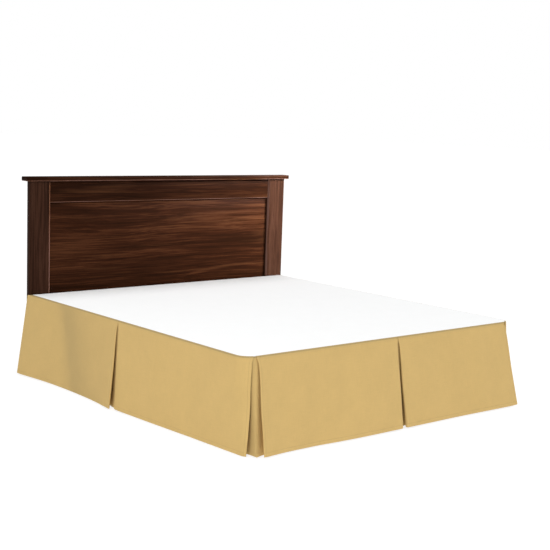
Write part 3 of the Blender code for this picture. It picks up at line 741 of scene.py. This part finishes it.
class Strip:
    """A drop or an insert: cloth folded back and forth below the top edge."""

    def __init__(self, sizes, edge, layers, folds, seed, shoulder=0.0, sewn=0.0, split=(0, 0)):
        self.sizes = sizes
        self.edge = edge
        self.shoulder = shoulder
        self.sewn = sewn
        self.split = split
        self.seed = seed
        self.columns = self.lay_columns(layers, folds)

    def hem_plan(self, layer, fraction):
        """Plan of a layer's hem, that fraction of the way along it."""
        along = layer.hem[0].along + fraction * (layer.hem[-1].along - layer.hem[0].along)
        out = curve_at(layer.hem, along)
        if layer.side == "foot":
            return Vector((along, -self.edge.foot - out))
        return Vector((-self.edge.side_x - out, along))

    def hem_point(self, plan):
        """A hem that stands further out is lifted a little."""
        out = max(-self.edge.side_x - plan.x, plan.x - self.edge.side_x,
                  -self.edge.foot - plan.y, 0.0)
        return Vector((plan.x, plan.y, self.sizes.hem_lift + self.sizes.hem_rise * out))

    def stations(self, layer, first, last):
        """Places along a layer, close together at the strip's own ends."""
        forward = math.copysign(1.0, layer.end - layer.start)
        span = abs(layer.end - layer.start)
        marks = {0.0, span}
        marks |= set(END_LINES) if first else set()
        marks |= {span - line for line in END_LINES} if last else set()
        marks = sorted(marks)
        places = [0.0]
        for near, far in zip(marks, marks[1:]):
            count = max(1, math.ceil((far - near) / self.sizes.column))
            places += [near + (far - near) * (i + 1) / count for i in range(count)]
        return [(layer.start + forward * place, place, span) for place in places]

    def opening(self, number, place, span):
        """How far that place of a layer slides away from its pleat and its split ends."""
        spread = self.sizes.pleat_spread
        starting, ending = (math.exp(-(away / SLIDE_REACH) ** 2) for away in (place, span - place))
        return {
            0: -spread * ending + self.split[0] * starting,
            1: -spread * (1 - place / span),
            3: spread * place / span,
            4: spread * starting - self.split[1] * ending,
        }.get(number, 0.0)

    def lay_columns(self, layers, folds):
        columns = []
        pleated = len(layers) == 5
        for number, layer in enumerate(layers):
            first, last = number == 0, number == len(layers) - 1
            laid = []
            mine = [fold for fold in folds if fold.layer == number]
            for run, place, span in self.stations(layer, first, last):
                fraction = place / span
                slide = self.opening(number, place, span) if pleated else 0.0
                inside = min(place if first else 1.0, span - place if last else 1.0)
                laid.append(Column(run, layer.depth, self.hem_plan(layer, fraction), mine,
                                   fraction, slide, inside))
            if columns and layer.depth != layers[number - 1].depth:
                columns += self.turn_columns(columns[-2:], laid[:2])
            elif columns:
                laid = laid[1:]
            columns += laid
        return columns

    def turn_columns(self, before, after):
        """Columns round the fold between two layers."""
        last, following = before[1], after[0]
        forward = math.copysign(1.0, last.run - before[0].run)
        radius = abs(following.depth - last.depth) / 2
        width = (following.plan - last.plan).length * self.sizes.fold_round
        leave = (last.plan - before[0].plan).normalized() * width
        enter = (after[1].plan - following.plan).normalized() * width
        columns = []
        for step in range(1, self.sizes.fold_steps):
            t = step / self.sizes.fold_steps
            turn = math.pi * t
            plan = hermite(last.plan, leave, following.plan, enter, t)
            middle = (last.depth + following.depth) / 2
            depth = middle - (following.depth - last.depth) / 2 * math.cos(turn)
            run = last.run + forward * radius * math.sin(turn)
            columns.append(Column(run, depth, plan, last.folds, last.fraction, last.slide, 1.0))
        return columns

    def rolled(self, column, turn):
        """A point where a column turns over the top edge, at that angle of the turn."""
        point, outward = self.edge.at(column.run)
        rise = math.sin(turn) if self.sewn else 0.0
        depth = column.depth + (self.sewn - column.depth) * rise
        radius = self.sizes.roll - depth
        stand = self.shoulder * math.exp(-(column.run / self.sizes.shoulder_reach) ** 2)
        reach = (radius + stand) * math.cos(turn) - self.sizes.roll
        lift = stand * self.sizes.shoulder_lift
        height = self.sizes.top_z - self.sizes.roll + lift + (radius - lift) * math.sin(turn)
        plan = point + reach * outward
        return Vector((plan.x, plan.y, height))

    def settled(self, column, fall):
        """How far the cloth's own slackness moves it in or out there."""
        bow = 0.0
        for (along, down), share_of, seed in ((BROAD_BOWS, 1.0, self.seed),
                                              (FINE_BOWS, FINE_SHARE, self.seed + 9)):
            bow += share_of * noise.noise(Vector((column.run * along, fall * down, seed)))
        drift = RIPPLE_DRIFT * math.sin(column.run * DRIFT_WAVES)
        ripple = math.sin(column.run * RIPPLES + drift) * self.sizes.pucker
        by_seam = math.exp(-(fall / SEAM_REACH) ** 2) * smooth(0.0, SEAM_START, fall)
        by_hem = HEM_SHARE * math.exp(-((1 - fall) / HEM_REACH) ** 2)
        bowed = bow * self.sizes.slack * hung_free(fall, *BOW_FALL)
        return bowed + ripple * (by_seam + by_hem)

    def surface(self):
        """Middle surface, row by row from seam to hem, with what varies over it."""
        turns = [math.radians(degrees) for degrees in ROLL_ANGLES]
        rows = [[self.rolled(column, turn) for column in self.columns] for turn in turns]
        # Painted shade of the folds, row by row beside the points.
        painted_shading = [[folded(column, 0.0)[1] for column in self.columns] for turn in turns]
        edge = rows[-1]
        drop = self.sizes.top_z - self.sizes.roll - self.sizes.hem_lift
        plain = drop - HEM_LINES[0]
        count = math.ceil(plain / self.sizes.row)
        falls = [plain * (i + 1) / count / drop for i in range(count)]
        falls += [1 - line / drop for line in HEM_LINES[1:]]
        for fall in falls:
            free = hung_free(fall, *FOLD_FALL)
            closing = 1 - smooth(*SLIDE_ENDS, fall)
            row, shade_row = [], []
            for column, top in zip(self.columns, edge):
                bulge, deep = folded(column, fall)
                outward = self.edge.at(column.run)[1].to_3d()
                start = 0.0 if column.inside < INNER_COLUMN else SLIDE_LATER
                slide = column.slide * smooth(start, start + SLIDE_GROWS, fall) * closing
                along = Vector((-outward.y, outward.x, 0.0)) * slide
                push = outward * (bulge * free + self.settled(column, fall))
                row.append(top.lerp(self.hem_point(column.plan), fall) + push + along)
                shade_row.append(deep)
            rows.append(row)
            painted_shading.append(shade_row)
        points = np.array([[tuple(point) for point in row] for row in rows])
        points[..., 1] += self.edge.centre_y
        above = [1.0] * len(turns) + [(1 - fall) * drop for fall in falls]
        inside = [column.inside for column in self.columns]
        return points, np.array(above), np.array(inside), np.array(painted_shading)


def skin_normals(points):
    """Unit normals of a grid of points, on the cloth's front."""
    rows, columns = points.shape[:2]
    i, j = np.arange(rows), np.arange(columns)
    across = points[:, np.minimum(j + 1, columns - 1)] - points[:, np.maximum(j - 1, 0)]
    down = points[np.minimum(i + 1, rows - 1)] - points[np.maximum(i - 1, 0)]
    normals = np.cross(down, across)
    return normals / np.linalg.norm(normals, axis=2, keepdims=True)


def grid_faces(rows, columns, first, front):
    """Quads over a grid of vertices numbered from `first`."""
    faces = []
    for i in range(rows - 1):
        for j in range(columns - 1):
            corner = first + i * columns + j
            quad = (corner, corner + columns, corner + columns + 1, corner + 1)
            faces.append(quad if front else quad[::-1])
    return faces


def rim_faces(rows, columns):
    """Quads that join the front and the back skin all round."""
    total = rows * columns
    loop = list(range(columns))
    loop += [i * columns + columns - 1 for i in range(1, rows)]
    loop += [(rows - 1) * columns + j for j in reversed(range(columns - 1))]
    loop += [i * columns for i in reversed(range(1, rows - 1))]
    return [(a, b, b + total, a + total) for a, b in zip(loop, loop[1:] + loop[:1])]


def travelled(points):
    """Metres travelled along a row of points, at each of them."""
    return np.insert(np.linalg.norm(np.diff(points, axis=0), axis=1).cumsum(), 0, 0)


def add_sheet(name, points, front, back, depth):
    """A closed sheet around its middle surface.

    front and back say how far its two skins lie from that surface, and depth where painted
    shade darkens the cloth's colour. Its UV map is in metres along and down the cloth.
    """
    rows, columns = points.shape[:2]
    normals = skin_normals(points)
    skins = np.concatenate([
        (points + normals * front[..., None]).reshape(-1, 3),
        (points - normals * back[..., None]).reshape(-1, 3),
    ])
    faces = grid_faces(rows, columns, 0, True) + grid_faces(rows, columns, rows * columns, False)
    mesh = bpy.data.meshes.new(name)
    mesh.from_pydata(skins.tolist(), [], faces + rim_faces(rows, columns))
    mesh.validate()
    along, down = travelled(points[rows // 2]), travelled(points[:, 0])
    flat = np.stack(np.broadcast_arrays(along[None, :], down[:, None]), axis=2).reshape(-1, 2)
    corners = np.zeros(len(mesh.loops), dtype=np.int32)
    mesh.loops.foreach_get("vertex_index", corners)
    layer = mesh.uv_layers.new(name="cloth")
    layer.data.foreach_set("uv", np.tile(flat, (2, 1))[corners].ravel())
    painted_shading = mesh.attributes.new("depth", "FLOAT", "POINT")
    painted_shading.data.foreach_set("value", np.tile(depth.reshape(-1), 2).astype(np.float32))
    mesh.shade_smooth()
    mesh.set_sharp_from_angle(angle=math.radians(CLOTH_SHARP))
    return link_piece(name, mesh)


def near_line(distance, line, width):
    """1 on a line at that distance, 0 further than its width away."""
    return np.clip(1 - np.abs(distance - line) / width, 0, 1)


def add_strip(name, strip, mirrored):
    """The sheet of a drop or an insert, and the lines that its stitches follow."""
    points, above, inside, deep = strip.surface()
    if mirrored:
        points = points[:, ::-1] * np.array((-1.0, 1.0, 1.0))
        inside, deep = inside[::-1], deep[:, ::-1]
    sizes = strip.sizes
    half = sizes.cloth / 2
    turned = np.maximum((above < HEM_TURNED)[:, None], (inside < END_TURNED)[None, :])
    stitched = np.maximum(near_line(above, HEM_STITCHES, STITCH_PULL)[:, None],
                          near_line(inside, END_STITCHES, STITCH_PULL)[None, :])
    degrees = np.array(ROLL_ANGLES + (-90,) * (len(above) - len(ROLL_ANGLES)))
    seamed = near_line(degrees, SEAM_ANGLE, SEAM_WIDTH)[:, None]
    front = half - sizes.groove * np.maximum(stitched, seamed)
    back = half + sizes.hem_turn * turned * (degrees < 0)[:, None]
    # Painted shade: the cloth darkens over the top edge, along the seam and along the stitches, and
    # the folds add their own.
    over = np.clip((degrees - OVER_FROM) / OVER_WIDTH, 0, 1)[:, None] * np.ones_like(front)
    sewn = np.maximum(over * OVER_PAINTED_SHADE, np.maximum(stitched * STITCH_PAINTED_SHADE, seamed * SEAM_PAINTED_SHADE))
    piece = add_sheet(name, points, front, back, np.maximum(sewn, deep))

    def nearest(distances, line):
        return int(np.argmin(np.abs(distances - line)))

    normals = skin_normals(points)
    surface = points + normals * front[..., None]
    hem, first = nearest(above, HEM_STITCHES), len(ROLL_ANGLES) + 1
    ends = (nearest(inside[:END_COLUMNS], END_STITCHES),
            len(inside) - END_COLUMNS + nearest(inside[-END_COLUMNS:], END_STITCHES))
    lines = [np.s_[hem]] + [np.s_[first:hem + 1, end] for end in ends]
    return piece, [(surface[line], normals[line]) for line in lines]


def pleated_layers(sizes, start, pleat, end, side, panels, folds):
    """Panel, return, underlay, return and panel of a drop with an inverted pleat."""
    outer = sizes.cloth / 2
    middle, inner = outer + sizes.layer_step, outer + 2 * sizes.layer_step
    first, last = pleat - sizes.pleat_gap / 2, pleat + sizes.pleat_gap / 2
    return (
        Layer(outer, start, first, side, panels[0]),
        Layer(middle, first, first - sizes.pleat_return, side, folds[0]),
        Layer(inner, first - sizes.pleat_return, last + sizes.pleat_return, side, folds[1]),
        Layer(middle, last + sizes.pleat_return, last, side, folds[2]),
        Layer(outer, last, end, side, panels[1]),
    )


def sewn_line(points, normals, sizes):
    """Vertices and faces of the stitches along one line on the cloth."""
    travel = travelled(points)
    count = int(travel[-1] / sizes.stitch_pitch)
    vertices, faces = [], []
    rings = len(STITCH_RINGS)

    def read(rows, spot):
        return Vector(np.interp(spot, travel, rows[:, axis]) for axis in range(3))

    for number in range(count):
        middle = (number + 0.5) * travel[-1] / count
        centre = [read(points, middle + place * sizes.stitch) for place, _ in STITCH_RINGS]
        normal = read(normals, middle).normalized()
        along = (centre[-1] - centre[0]).normalized()
        across = normal.cross(along).normalized()
        first = len(vertices)
        for (_, width), spot in zip(STITCH_RINGS, centre):
            for side in range(STITCH_SIDES):
                turn = 2 * math.pi * side / STITCH_SIDES
                radius = sizes.thread / 2 * width
                offset = across * math.cos(turn) * radius + normal * math.sin(turn) * radius
                vertices.append(spot + offset + normal * sizes.thread * STITCH_LIFT)
        for ring in range(rings - 1):
            for side in range(STITCH_SIDES):
                a = first + ring * STITCH_SIDES + side
                b = first + ring * STITCH_SIDES + (side + 1) % STITCH_SIDES
                faces.append((a, b, b + STITCH_SIDES, a + STITCH_SIDES))
        sides = [first + side for side in range(STITCH_SIDES)]
        faces.append(tuple(reversed(sides)))
        faces.append(tuple(side + (rings - 1) * STITCH_SIDES for side in sides))
    return vertices, faces


def add_stitches(name, lines, sizes, material, slot):
    """One piece of all the stitches along some lines."""
    vertices, faces = [], []
    for points, normals in lines:
        more, joined = sewn_line(points, normals, sizes)
        start = len(vertices)
        vertices += more
        faces += [tuple(start + index for index in face) for face in joined]
    mesh = bpy.data.meshes.new(name)
    mesh.from_pydata(vertices, [], faces)
    mesh.shade_smooth()
    return dress(link_piece(name, mesh), slot, material)


def hang(scene, kind, side, node, strip):
    """Hang one drop or insert, sewn along its hem and ends."""
    sizes, finishes = scene.skirt_sizes, scene.finishes
    piece, lines = add_strip("skirt_" + kind + "_" + side, strip, side == "right")
    dress(piece, "gold_cloth", gold_cloth(finishes))
    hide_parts(node + "_" + side)
    thread = add_stitches(kind + "_stitches_" + side, lines, sizes, gold_thread(finishes),
                          "gold_cloth")


# ---- Operators: the skirt --------------------------------------------------------------

class SKIRT_OT_platform(bpy.types.Operator):
    """Lay the white platform sheet over the bed, greyed along its rim by painted shade"""

    bl_idname = "bed_skirt.platform"
    bl_label = "Platform sheet"

    def execute(self, context):
        scene = context.scene
        sizes, edge = scene.skirt_sizes, TopEdge(scene.skirt_sizes)
        inset = sizes.roll + sizes.seam_gap
        radius = edge.radius - inset
        half = edge.side_x - inset
        straight = np.linspace(edge.head, -edge.foot + edge.radius, PLATFORM_ROWS)
        turns = np.radians(np.linspace(0, 90, PLATFORM_TURNS))[1:]
        ys = np.concatenate([straight, -edge.foot + edge.radius - radius * np.sin(turns)])
        halves = np.concatenate([np.full(len(straight), half),
                                 half - radius + radius * np.cos(turns)])
        rim = np.array(PLATFORM_RIM)
        inner = np.linspace(-PLATFORM_INNER, PLATFORM_INNER, PLATFORM_COLUMNS)
        spans = np.concatenate([-rim[::-1], inner, rim])
        points = np.zeros((len(ys), len(spans), 3))
        points[..., 0] = halves[:, None] * spans[None, :]
        points[..., 1] = ys[:, None] + edge.centre_y
        points[..., 2] = sizes.top_z - sizes.cloth / 2
        back = np.full(points.shape[:2], sizes.cloth / 2)
        waves = np.zeros_like(back)
        for i, row in enumerate(points):
            for j, (x, y, _) in enumerate(row):
                place = Vector((x * PLATFORM_WAVES[0], y * PLATFORM_WAVES[1], 4.0))
                waves[i, j] = 0.5 + 0.5 * noise.noise(place)
        rim = np.minimum(np.minimum(half - np.abs(points[..., 0]),
                                    points[..., 1] - edge.centre_y + edge.foot - inset),
                         edge.head + edge.centre_y - points[..., 1])
        front = back + waves * sizes.slack * PLATFORM_SLACK * np.clip(rim / PLATFORM_HELD, 0, 1)
        # Painted shade: the sheet is greyed in a narrow band along its rim, where it meets the
        # drops.
        seam = np.clip(1 - rim / RIM_SHADE_WIDTH, 0, 1) * RIM_PAINTED_SHADE
        piece = add_sheet("platform_sheet", points, front, back, seam)
        dress(piece, "white_cloth", white_cloth(scene.finishes))
        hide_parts("platform")
        return {"FINISHED"}


class SKIRT_OT_drops(bpy.types.Operator):
    """Hang the three pleated drops from the top edge, with their hems and stitches"""

    bl_idname = "bed_skirt.drops"
    bl_label = "Drops"

    def execute(self, context):
        scene = context.scene
        sizes, edge = scene.skirt_sizes, TopEdge(scene.skirt_sizes)
        side_end = edge.split_run - sizes.split_gap / 2
        foot_start = edge.split_run + sizes.split_gap / 2
        left = pleated_layers(sizes, 0.0, edge.head - sizes.left_pleat, side_end, "side",
                              (LEFT_HEAD_PANEL, LEFT_FOOT_PANEL), LEFT_PLEAT)
        right = pleated_layers(sizes, 0.0, edge.head - sizes.right_pleat, side_end, "side",
                               (RIGHT_HEAD_PANEL, RIGHT_FOOT_PANEL), RIGHT_PLEAT)
        foot = pleated_layers(sizes, foot_start, edge.length / 2 + sizes.foot_pleat,
                              edge.length - foot_start, "foot",
                              (FOOT_LEFT_PANEL, FOOT_RIGHT_PANEL), FOOT_PLEAT)
        spread = sizes.split_spread
        drops = (
            ("left", left, LEFT_FOLDS, 1, sizes.shoulder, (0.0, spread)),
            ("right", right, RIGHT_FOLDS, 5, sizes.shoulder_right, (0.0, 0.0)),
            ("foot", foot, FOOT_FOLDS, 3, 0.0, (spread, -spread)),
        )
        for side, layers, folds, seed, shoulder, split in drops:
            strip = Strip(sizes, edge, layers, folds, seed, shoulder=shoulder, split=split)
            hang(scene, "drop", side, "drop", strip)
        return {"FINISHED"}


class SKIRT_OT_corner_inserts(bpy.types.Operator):
    """Hang the creased insert behind each split foot corner"""

    bl_idname = "bed_skirt.corner_inserts"
    bl_label = "Corner inserts"

    def execute(self, context):
        scene = context.scene
        sizes, edge = scene.skirt_sizes, TopEdge(scene.skirt_sizes)
        inner = sizes.cloth / 2 + 2 * sizes.layer_step
        sewn = sizes.cloth * 1.5 + sizes.sewn_step
        split, half = edge.split_run, sizes.insert_half
        layers = (
            Layer(inner, split - half, split, "side", INSERT_SIDE),
            Layer(inner, split, split + half, "foot", INSERT_FOOT),
        )
        for side, folds in (("left", LEFT_INSERT_FOLDS), ("right", RIGHT_INSERT_FOLDS)):
            strip = Strip(sizes, edge, layers, folds, 7, sewn=sewn)
            hang(scene, "insert", side, "corner_insert", strip)
        return {"FINISHED"}


# ---- Operators: the bed ----------------------------------------------------------------

def alone():
    """Leave nothing selected, so that what is added next is selected alone."""
    bpy.ops.object.select_all(action="DESELECT")


def settle():
    """Put the selected objects' places into their meshes."""
    bpy.ops.object.transform_apply(location=True, rotation=True, scale=True)


def smoothed(piece):
    """Shade the active piece smooth, but for its sharper edges."""
    bpy.ops.object.shade_smooth_by_angle(angle=math.radians(BOARD_SHARP))
    return piece


def block(name, low, high):
    """A block between two corners, alone and selected, with its place in its mesh."""
    alone()
    bpy.ops.mesh.primitive_cube_add(size=1, location=(low + high) / 2)
    piece = bpy.context.object
    piece.name = piece.data.name = name
    piece.scale = high - low
    settle()
    return piece


def bevel(piece, chosen, width, segments, finish=-1):
    """Bevel the edges whose two ends `chosen` accepts, in the finish of that number."""
    mesh = piece.data
    bpy.ops.object.mode_set(mode="EDIT")
    bpy.ops.mesh.select_mode(type="EDGE")
    bpy.ops.mesh.select_all(action="DESELECT")
    bpy.ops.object.mode_set(mode="OBJECT")
    for edge in mesh.edges:
        edge.select = chosen(*(mesh.vertices[index].co for index in edge.vertices))
    bpy.ops.object.mode_set(mode="EDIT")
    bpy.ops.mesh.bevel(offset=width, segments=segments, affect="EDGES", clamp_overlap=True,
                       material=finish)
    bpy.ops.object.mode_set(mode="OBJECT")


def all_on(axis, place):
    """Chooses edges that lie in a plane across one axis."""
    return lambda a, b: abs(a[axis] - place) < TOUCH and abs(b[axis] - place) < TOUCH


def level(a, b):
    """Chooses edges with both ends at one height."""
    return abs(a.z - b.z) < TOUCH


class BED_OT_foundation(bpy.types.Operator):
    """Cover the two foundation halves and cord their edges"""

    bl_idname = "bed_skirt.foundation"
    bl_label = "Foundation"

    def execute(self, context):
        scene = context.scene
        sizes, finishes = scene.bed_sizes, scene.finishes
        cover = shared("foundation_ticking", knitted, shade(finishes.ticking), finishes)
        cord = shared("foundation_cord", knitted, shade(finishes.piping), finishes)
        for side in ("left", "right"):
            low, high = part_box("foundation_" + side)
            outer = low.x if side == "left" else high.x
            at_side = all_on(0, outer)
            piece = block("foundation_cover_" + side, low, high)
            bevel(piece, lambda a, b: at_side(a, b) and not level(a, b), sizes.cover_corner, 14)
            bevel(piece, level, sizes.cover_edge, 4)
            dress(smoothed(piece), "ticking", cover)
            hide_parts("foundation_" + side)
            for name, height in (("low", low.z + sizes.cover_edge),
                                 ("high", high.z - sizes.cover_edge)):
                self.add_piping("foundation_cord_" + name + "_" + side, low, high, outer, height,
                                sizes, cord)
        return {"FINISHED"}

    def add_piping(self, name, low, high, outer, height, sizes, material):
        """A cord sewn round one half, half sunk into its cover."""
        radius = sizes.cover_corner
        inward = 1 if outer == low.x else -1
        inner = high.x if outer == low.x else low.x
        points = [Vector((inner, high.y, height)), Vector((inner, low.y, height))]
        for centre_y, start in ((low.y + radius, 270), (high.y - radius, 180)):
            for step in range(CORD_STEPS + 1):
                turn = math.radians(start - 90 * step / CORD_STEPS)
                centre = Vector((outer + inward * radius, centre_y, height))
                outward = Vector((inward * math.cos(turn), math.sin(turn), 0))
                points.append(centre + radius * outward)
        curve = bpy.data.curves.new(name, "CURVE")
        curve.dimensions = "3D"
        curve.bevel_depth = sizes.piping / 4
        curve.bevel_resolution = 2
        spline = curve.splines.new("POLY")
        spline.points.add(len(points) - 1)
        spline.use_cyclic_u = True
        for place, point in zip(spline.points, points):
            place.co = (*point, 1.0)
        alone()
        piece = link_piece(name, curve)
        piece.select_set(True)
        bpy.context.view_layer.objects.active = piece
        bpy.ops.object.convert(target="MESH")
        bpy.ops.object.shade_smooth()
        dress(bpy.context.object, "ticking", material)


# How the names of the steel frame's nodes start.
STEEL_NODES = ("side_rail", "cross_rail", "centre_rail", "leg_", "headboard_bracket")


class BED_OT_steel_frame(bpy.types.Operator):
    """Coat the steel frame and bolt it to the headboard"""

    bl_idname = "bed_skirt.steel_frame"
    bl_label = "Steel frame"

    def execute(self, context):
        scene = context.scene
        sizes, finishes = scene.bed_sizes, scene.finishes
        coat = shared("black_coat", powder_coated, shade(finishes.steel))
        for name, node in frame["nodes"].items():
            if name.startswith(STEEL_NODES):
                node.material_slots[0].material = coat
        zinc = shared("bolt_zinc", plated, shade(finishes.zinc))
        pattern = self.add_bolt(sizes)
        number = 1
        for side in ("left", "right"):
            low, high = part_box("headboard_bracket_" + side)
            for height in sizes.bolts:
                place = Vector(((low.x + high.x) / 2, low.y, low.z + (high.z - low.z) * height))
                piece = link_piece("bracket_bolt_" + str(number), pattern.data.copy())
                piece.data.transform(Matrix.Translation(place))
                dress(piece, "steel", zinc)
                number += 1
        bpy.data.objects.remove(pattern)
        return {"FINISHED"}

    def add_bolt(self, sizes):
        """A hexagon bolt's head on its washer, pointing to the foot, its base at the origin."""
        base, made = 0.0, []
        for sides, across, height, ease in (
                (28, sizes.washer, sizes.washer_height, sizes.washer_ease),
                (6, sizes.bolt_across, sizes.bolt_height, sizes.bolt_ease)):
            alone()
            bpy.ops.mesh.primitive_cylinder_add(
                vertices=sides, radius=across / 2, depth=height, rotation=(math.pi / 2, 0, 0),
                location=(0, -base - height / 2, 0))
            settle()
            base += height
            made.append(bpy.context.object)
            bevel(made[-1], all_on(1, -base), ease, 2)
        made[0].select_set(True)
        bpy.ops.object.join()
        return smoothed(bpy.context.object)


class BED_OT_headboard(bpy.types.Operator):
    """Make the headboard's boards with eased edges and walnut grain"""

    bl_idname = "bed_skirt.headboard"
    bl_label = "Headboard"

    def execute(self, context):
        scene = context.scene
        sizes, finishes = scene.bed_sizes, scene.finishes
        wood = (finishes.walnut_dark, finishes.walnut, finishes.walnut_light)
        post = (finishes.post_dark, finishes.post, finishes.post_light)
        rail, cap = ([shade(tone, depth) for tone in wood] for depth in (0.66, 0.62))
        # Painted highlight for the post's inner chamfer, the cap's lower edges and the rails' front
        # edges.
        painted_highlight = (finishes.walnut_light, finishes.edge, finishes.edge)

        def board(node, name, colours, offset, upright=False):
            """A plain board in the node's place, with its own grain and a painted-highlight finish
            for edges.
            """
            low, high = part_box(node)
            piece = block(name, low, high)
            dress(piece, "walnut",
                  walnut("walnut_" + name, colours, finishes, upright, offset),
                  walnut("walnut_" + name + "_edge", painted_highlight, finishes, upright, offset))
            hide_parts(node)
            return piece, low, high

        for side, offset in (("left", (0.0, 0.31, 0.0)), ("right", (1.7, 0.83, 0.4))):
            piece, low, high = board("headboard_post_" + side, "post_" + side, post, offset, True)
            inner = high.x if side == "left" else low.x
            bevel(piece, lambda a, b: all_on(0, inner)(a, b) and all_on(1, low.y)(a, b),
                  sizes.post_chamfer, 1, 1)
            bevel(piece, lambda a, b: abs(a.z - b.z) > (high.z - low.z) / 2
                  and abs(a.x - inner) > 2 * sizes.post_chamfer, sizes.board_ease, 2, 0)
            smoothed(piece)
        piece, low, high = board("headboard_cap", "cap_board", cap, (0.4, 0.0, 0.27))
        bevel(piece, all_on(2, high.z), sizes.cap_ease, 3, 0)
        bevel(piece, all_on(2, low.z), sizes.cap_ease, 3, 1)
        smoothed(piece)
        for name, offset in (("top_rail", (0.9, 0.2, 0.11)), ("bottom_rail", (0.1, 0.6, 0.73))):
            piece, low, high = board("headboard_" + name, "board_" + name, rail, offset)
            bevel(piece, lambda a, b: all_on(1, low.y)(a, b) and level(a, b), sizes.rail_ease, 3, 1)
            smoothed(piece)
        piece, low, high = board("headboard_panel", "board_panel", wood, (0.0, 0.0, 0.05))
        bevel(piece, level, sizes.board_ease, 2, 0)
        smoothed(piece)
        return {"FINISHED"}


# ---- Operator: the stage -----------------------------------------------------------------

class STAGE_OT_studio(bpy.types.Operator):
    """Set the pale floor, the soft light and the camera"""

    bl_idname = "bed_skirt.studio"
    bl_label = "Studio"

    def execute(self, context):
        scene, studio = context.scene, context.scene.studio
        self.add_floor(studio)
        self.add_sky(scene, studio)
        for name, place, aim, size, power in (
                ("key_light", (-6.6, -3.8, 3.8), (-1.0, -0.5, 0.25), 2.5, studio.key),
                ("fill_light", (5.6, -5.8, 4.6), (0.0, -1.0, 0.25), 2.6, studio.fill),
                ("accent_light", (1.75, 0.25, 1.75), (0.9, 1.0, 0.75), 0.5, studio.accent)):
            lamp = self.add_lamp(name, "AREA", power, place, Vector(aim) - Vector(place))
            lamp.data.shape = "SQUARE"
            lamp.data.size = size
        # The last of them is for the headboard alone.
        self.light_only(lamp, ("post_", "cap_", "board_"))
        above = self.add_lamp("top_light", "SUN", studio.top, (0, 0, 4), Vector((-0.1, 0.1, -1.0)))
        above.data.angle = math.radians(60)
        self.add_camera(scene, studio)
        scene.view_settings.view_transform = "Standard"
        return {"FINISHED"}

    def add_floor(self, studio):
        alone()
        bpy.ops.mesh.primitive_plane_add(size=120)
        floor = bpy.context.object
        floor.name = "studio_floor"
        material, graph, shader = start_material(
            "studio_paper", 0.9, Specular_IOR_Level=0.0, Emission_Color=(1.0, 1.0, 1.0, 1.0),
            Emission_Strength=studio.glow)
        pale, paler = shade(studio.floor), shade(studio.floor, 1.01)
        paper = graph.blend(graph.cloud(graph.place(), 3.0), pale, paler)
        graph.feed(shader.inputs["Base Color"], paper)
        floor.data.materials.append(material)

    def add_sky(self, scene, studio):
        """White all round for the camera, and softer as light."""
        world = bpy.data.worlds.new("studio_sky")
        scene.world = world
        world.use_nodes = True
        graph = Graph(world.node_tree)
        seen = graph.add("LightPath").outputs["Is Camera Ray"]
        strength = graph.calc("MULTIPLY_ADD", seen, 1.0 - studio.sky, studio.sky)
        graph.feed_all(world.node_tree.nodes["Background"],
                       {"Color": (1.0, 1.0, 1.0), "Strength": strength})

    def add_lamp(self, name, kind, power, place, towards):
        """A light at a place, turned towards a direction and unseen by the camera."""
        light = bpy.data.lights.new(name, kind)
        light.energy = power
        lamp = link_piece(name, light)
        lamp.location = place
        lamp.rotation_euler = towards.to_track_quat("-Z", "Y").to_euler()
        lamp.visible_camera = False
        return lamp

    def light_only(self, lamp, starts):
        """Let a light reach only the pieces whose names start so."""
        lit = bpy.data.collections.new("lit_by_" + lamp.name)
        for piece in bpy.context.scene.objects:
            if piece.name.startswith(starts):
                lit.objects.link(piece)
        lamp.light_linking.receiver_collection = lit

    def add_camera(self, scene, studio):
        """The photograph's view: turned by yaw, tipped by pitch, then leaned by roll."""
        turn, tip, lean = studio.yaw, studio.pitch, studio.roll
        back = Vector((math.sin(turn) * math.cos(tip), -math.cos(turn) * math.cos(tip),
                       math.sin(tip)))
        across = (-back).cross(Vector((0, 0, 1))).normalized()
        upward = across.cross(-back)
        right = across * math.cos(lean) + upward * math.sin(lean)
        above = upward * math.cos(lean) - across * math.sin(lean)
        axes = Matrix((right, above, back)).transposed().to_4x4()
        camera = link_piece("camera", bpy.data.cameras.new("camera"))
        camera.data.lens = studio.lens
        camera.data.sensor_width = studio.sensor
        camera.matrix_world = Matrix.Translation(Vector(studio.place)) @ axes
        scene.camera = camera


STEPS = (
    BED_OT_foundation, BED_OT_steel_frame, BED_OT_headboard,
    SKIRT_OT_platform, SKIRT_OT_drops, SKIRT_OT_corner_inserts, STAGE_OT_studio,
)


class VIEW3D_PT_bed_skirt(bpy.types.Panel):
    """The steps that build the bed skirt, its bed and its studio"""

    bl_label = "Bed skirt"
    bl_idname = "VIEW3D_PT_bed_skirt"
    bl_space_type = "VIEW_3D"
    bl_region_type = "UI"
    bl_category = "Bed skirt"

    def draw(self, context):
        for step in STEPS:
            self.layout.operator(step.bl_idname)
        for attribute, group in GROUPS:
            box = self.layout.box()
            box.label(text=group.__doc__)
            for name in group.__annotations__:
                box.prop(getattr(context.scene, attribute), name)


def register():
    for attribute, group in GROUPS:
        bpy.utils.register_class(group)
        setattr(bpy.types.Scene, attribute, PointerProperty(type=group))
    for step in STEPS:
        bpy.utils.register_class(step)
    bpy.utils.register_class(VIEW3D_PT_bed_skirt)


def unregister():
    bpy.utils.unregister_class(VIEW3D_PT_bed_skirt)
    for step in reversed(STEPS):
        bpy.utils.unregister_class(step)
    for attribute, group in reversed(GROUPS):
        delattr(bpy.types.Scene, attribute)
        bpy.utils.unregister_class(group)


def main():
    register()
    bpy.ops.bed_skirt.foundation()
    bpy.ops.bed_skirt.steel_frame()
    bpy.ops.bed_skirt.headboard()
    bpy.ops.bed_skirt.platform()
    bpy.ops.bed_skirt.drops()
    bpy.ops.bed_skirt.corner_inserts()
    bpy.ops.bed_skirt.studio()


if __name__ == "__main__":
    main()
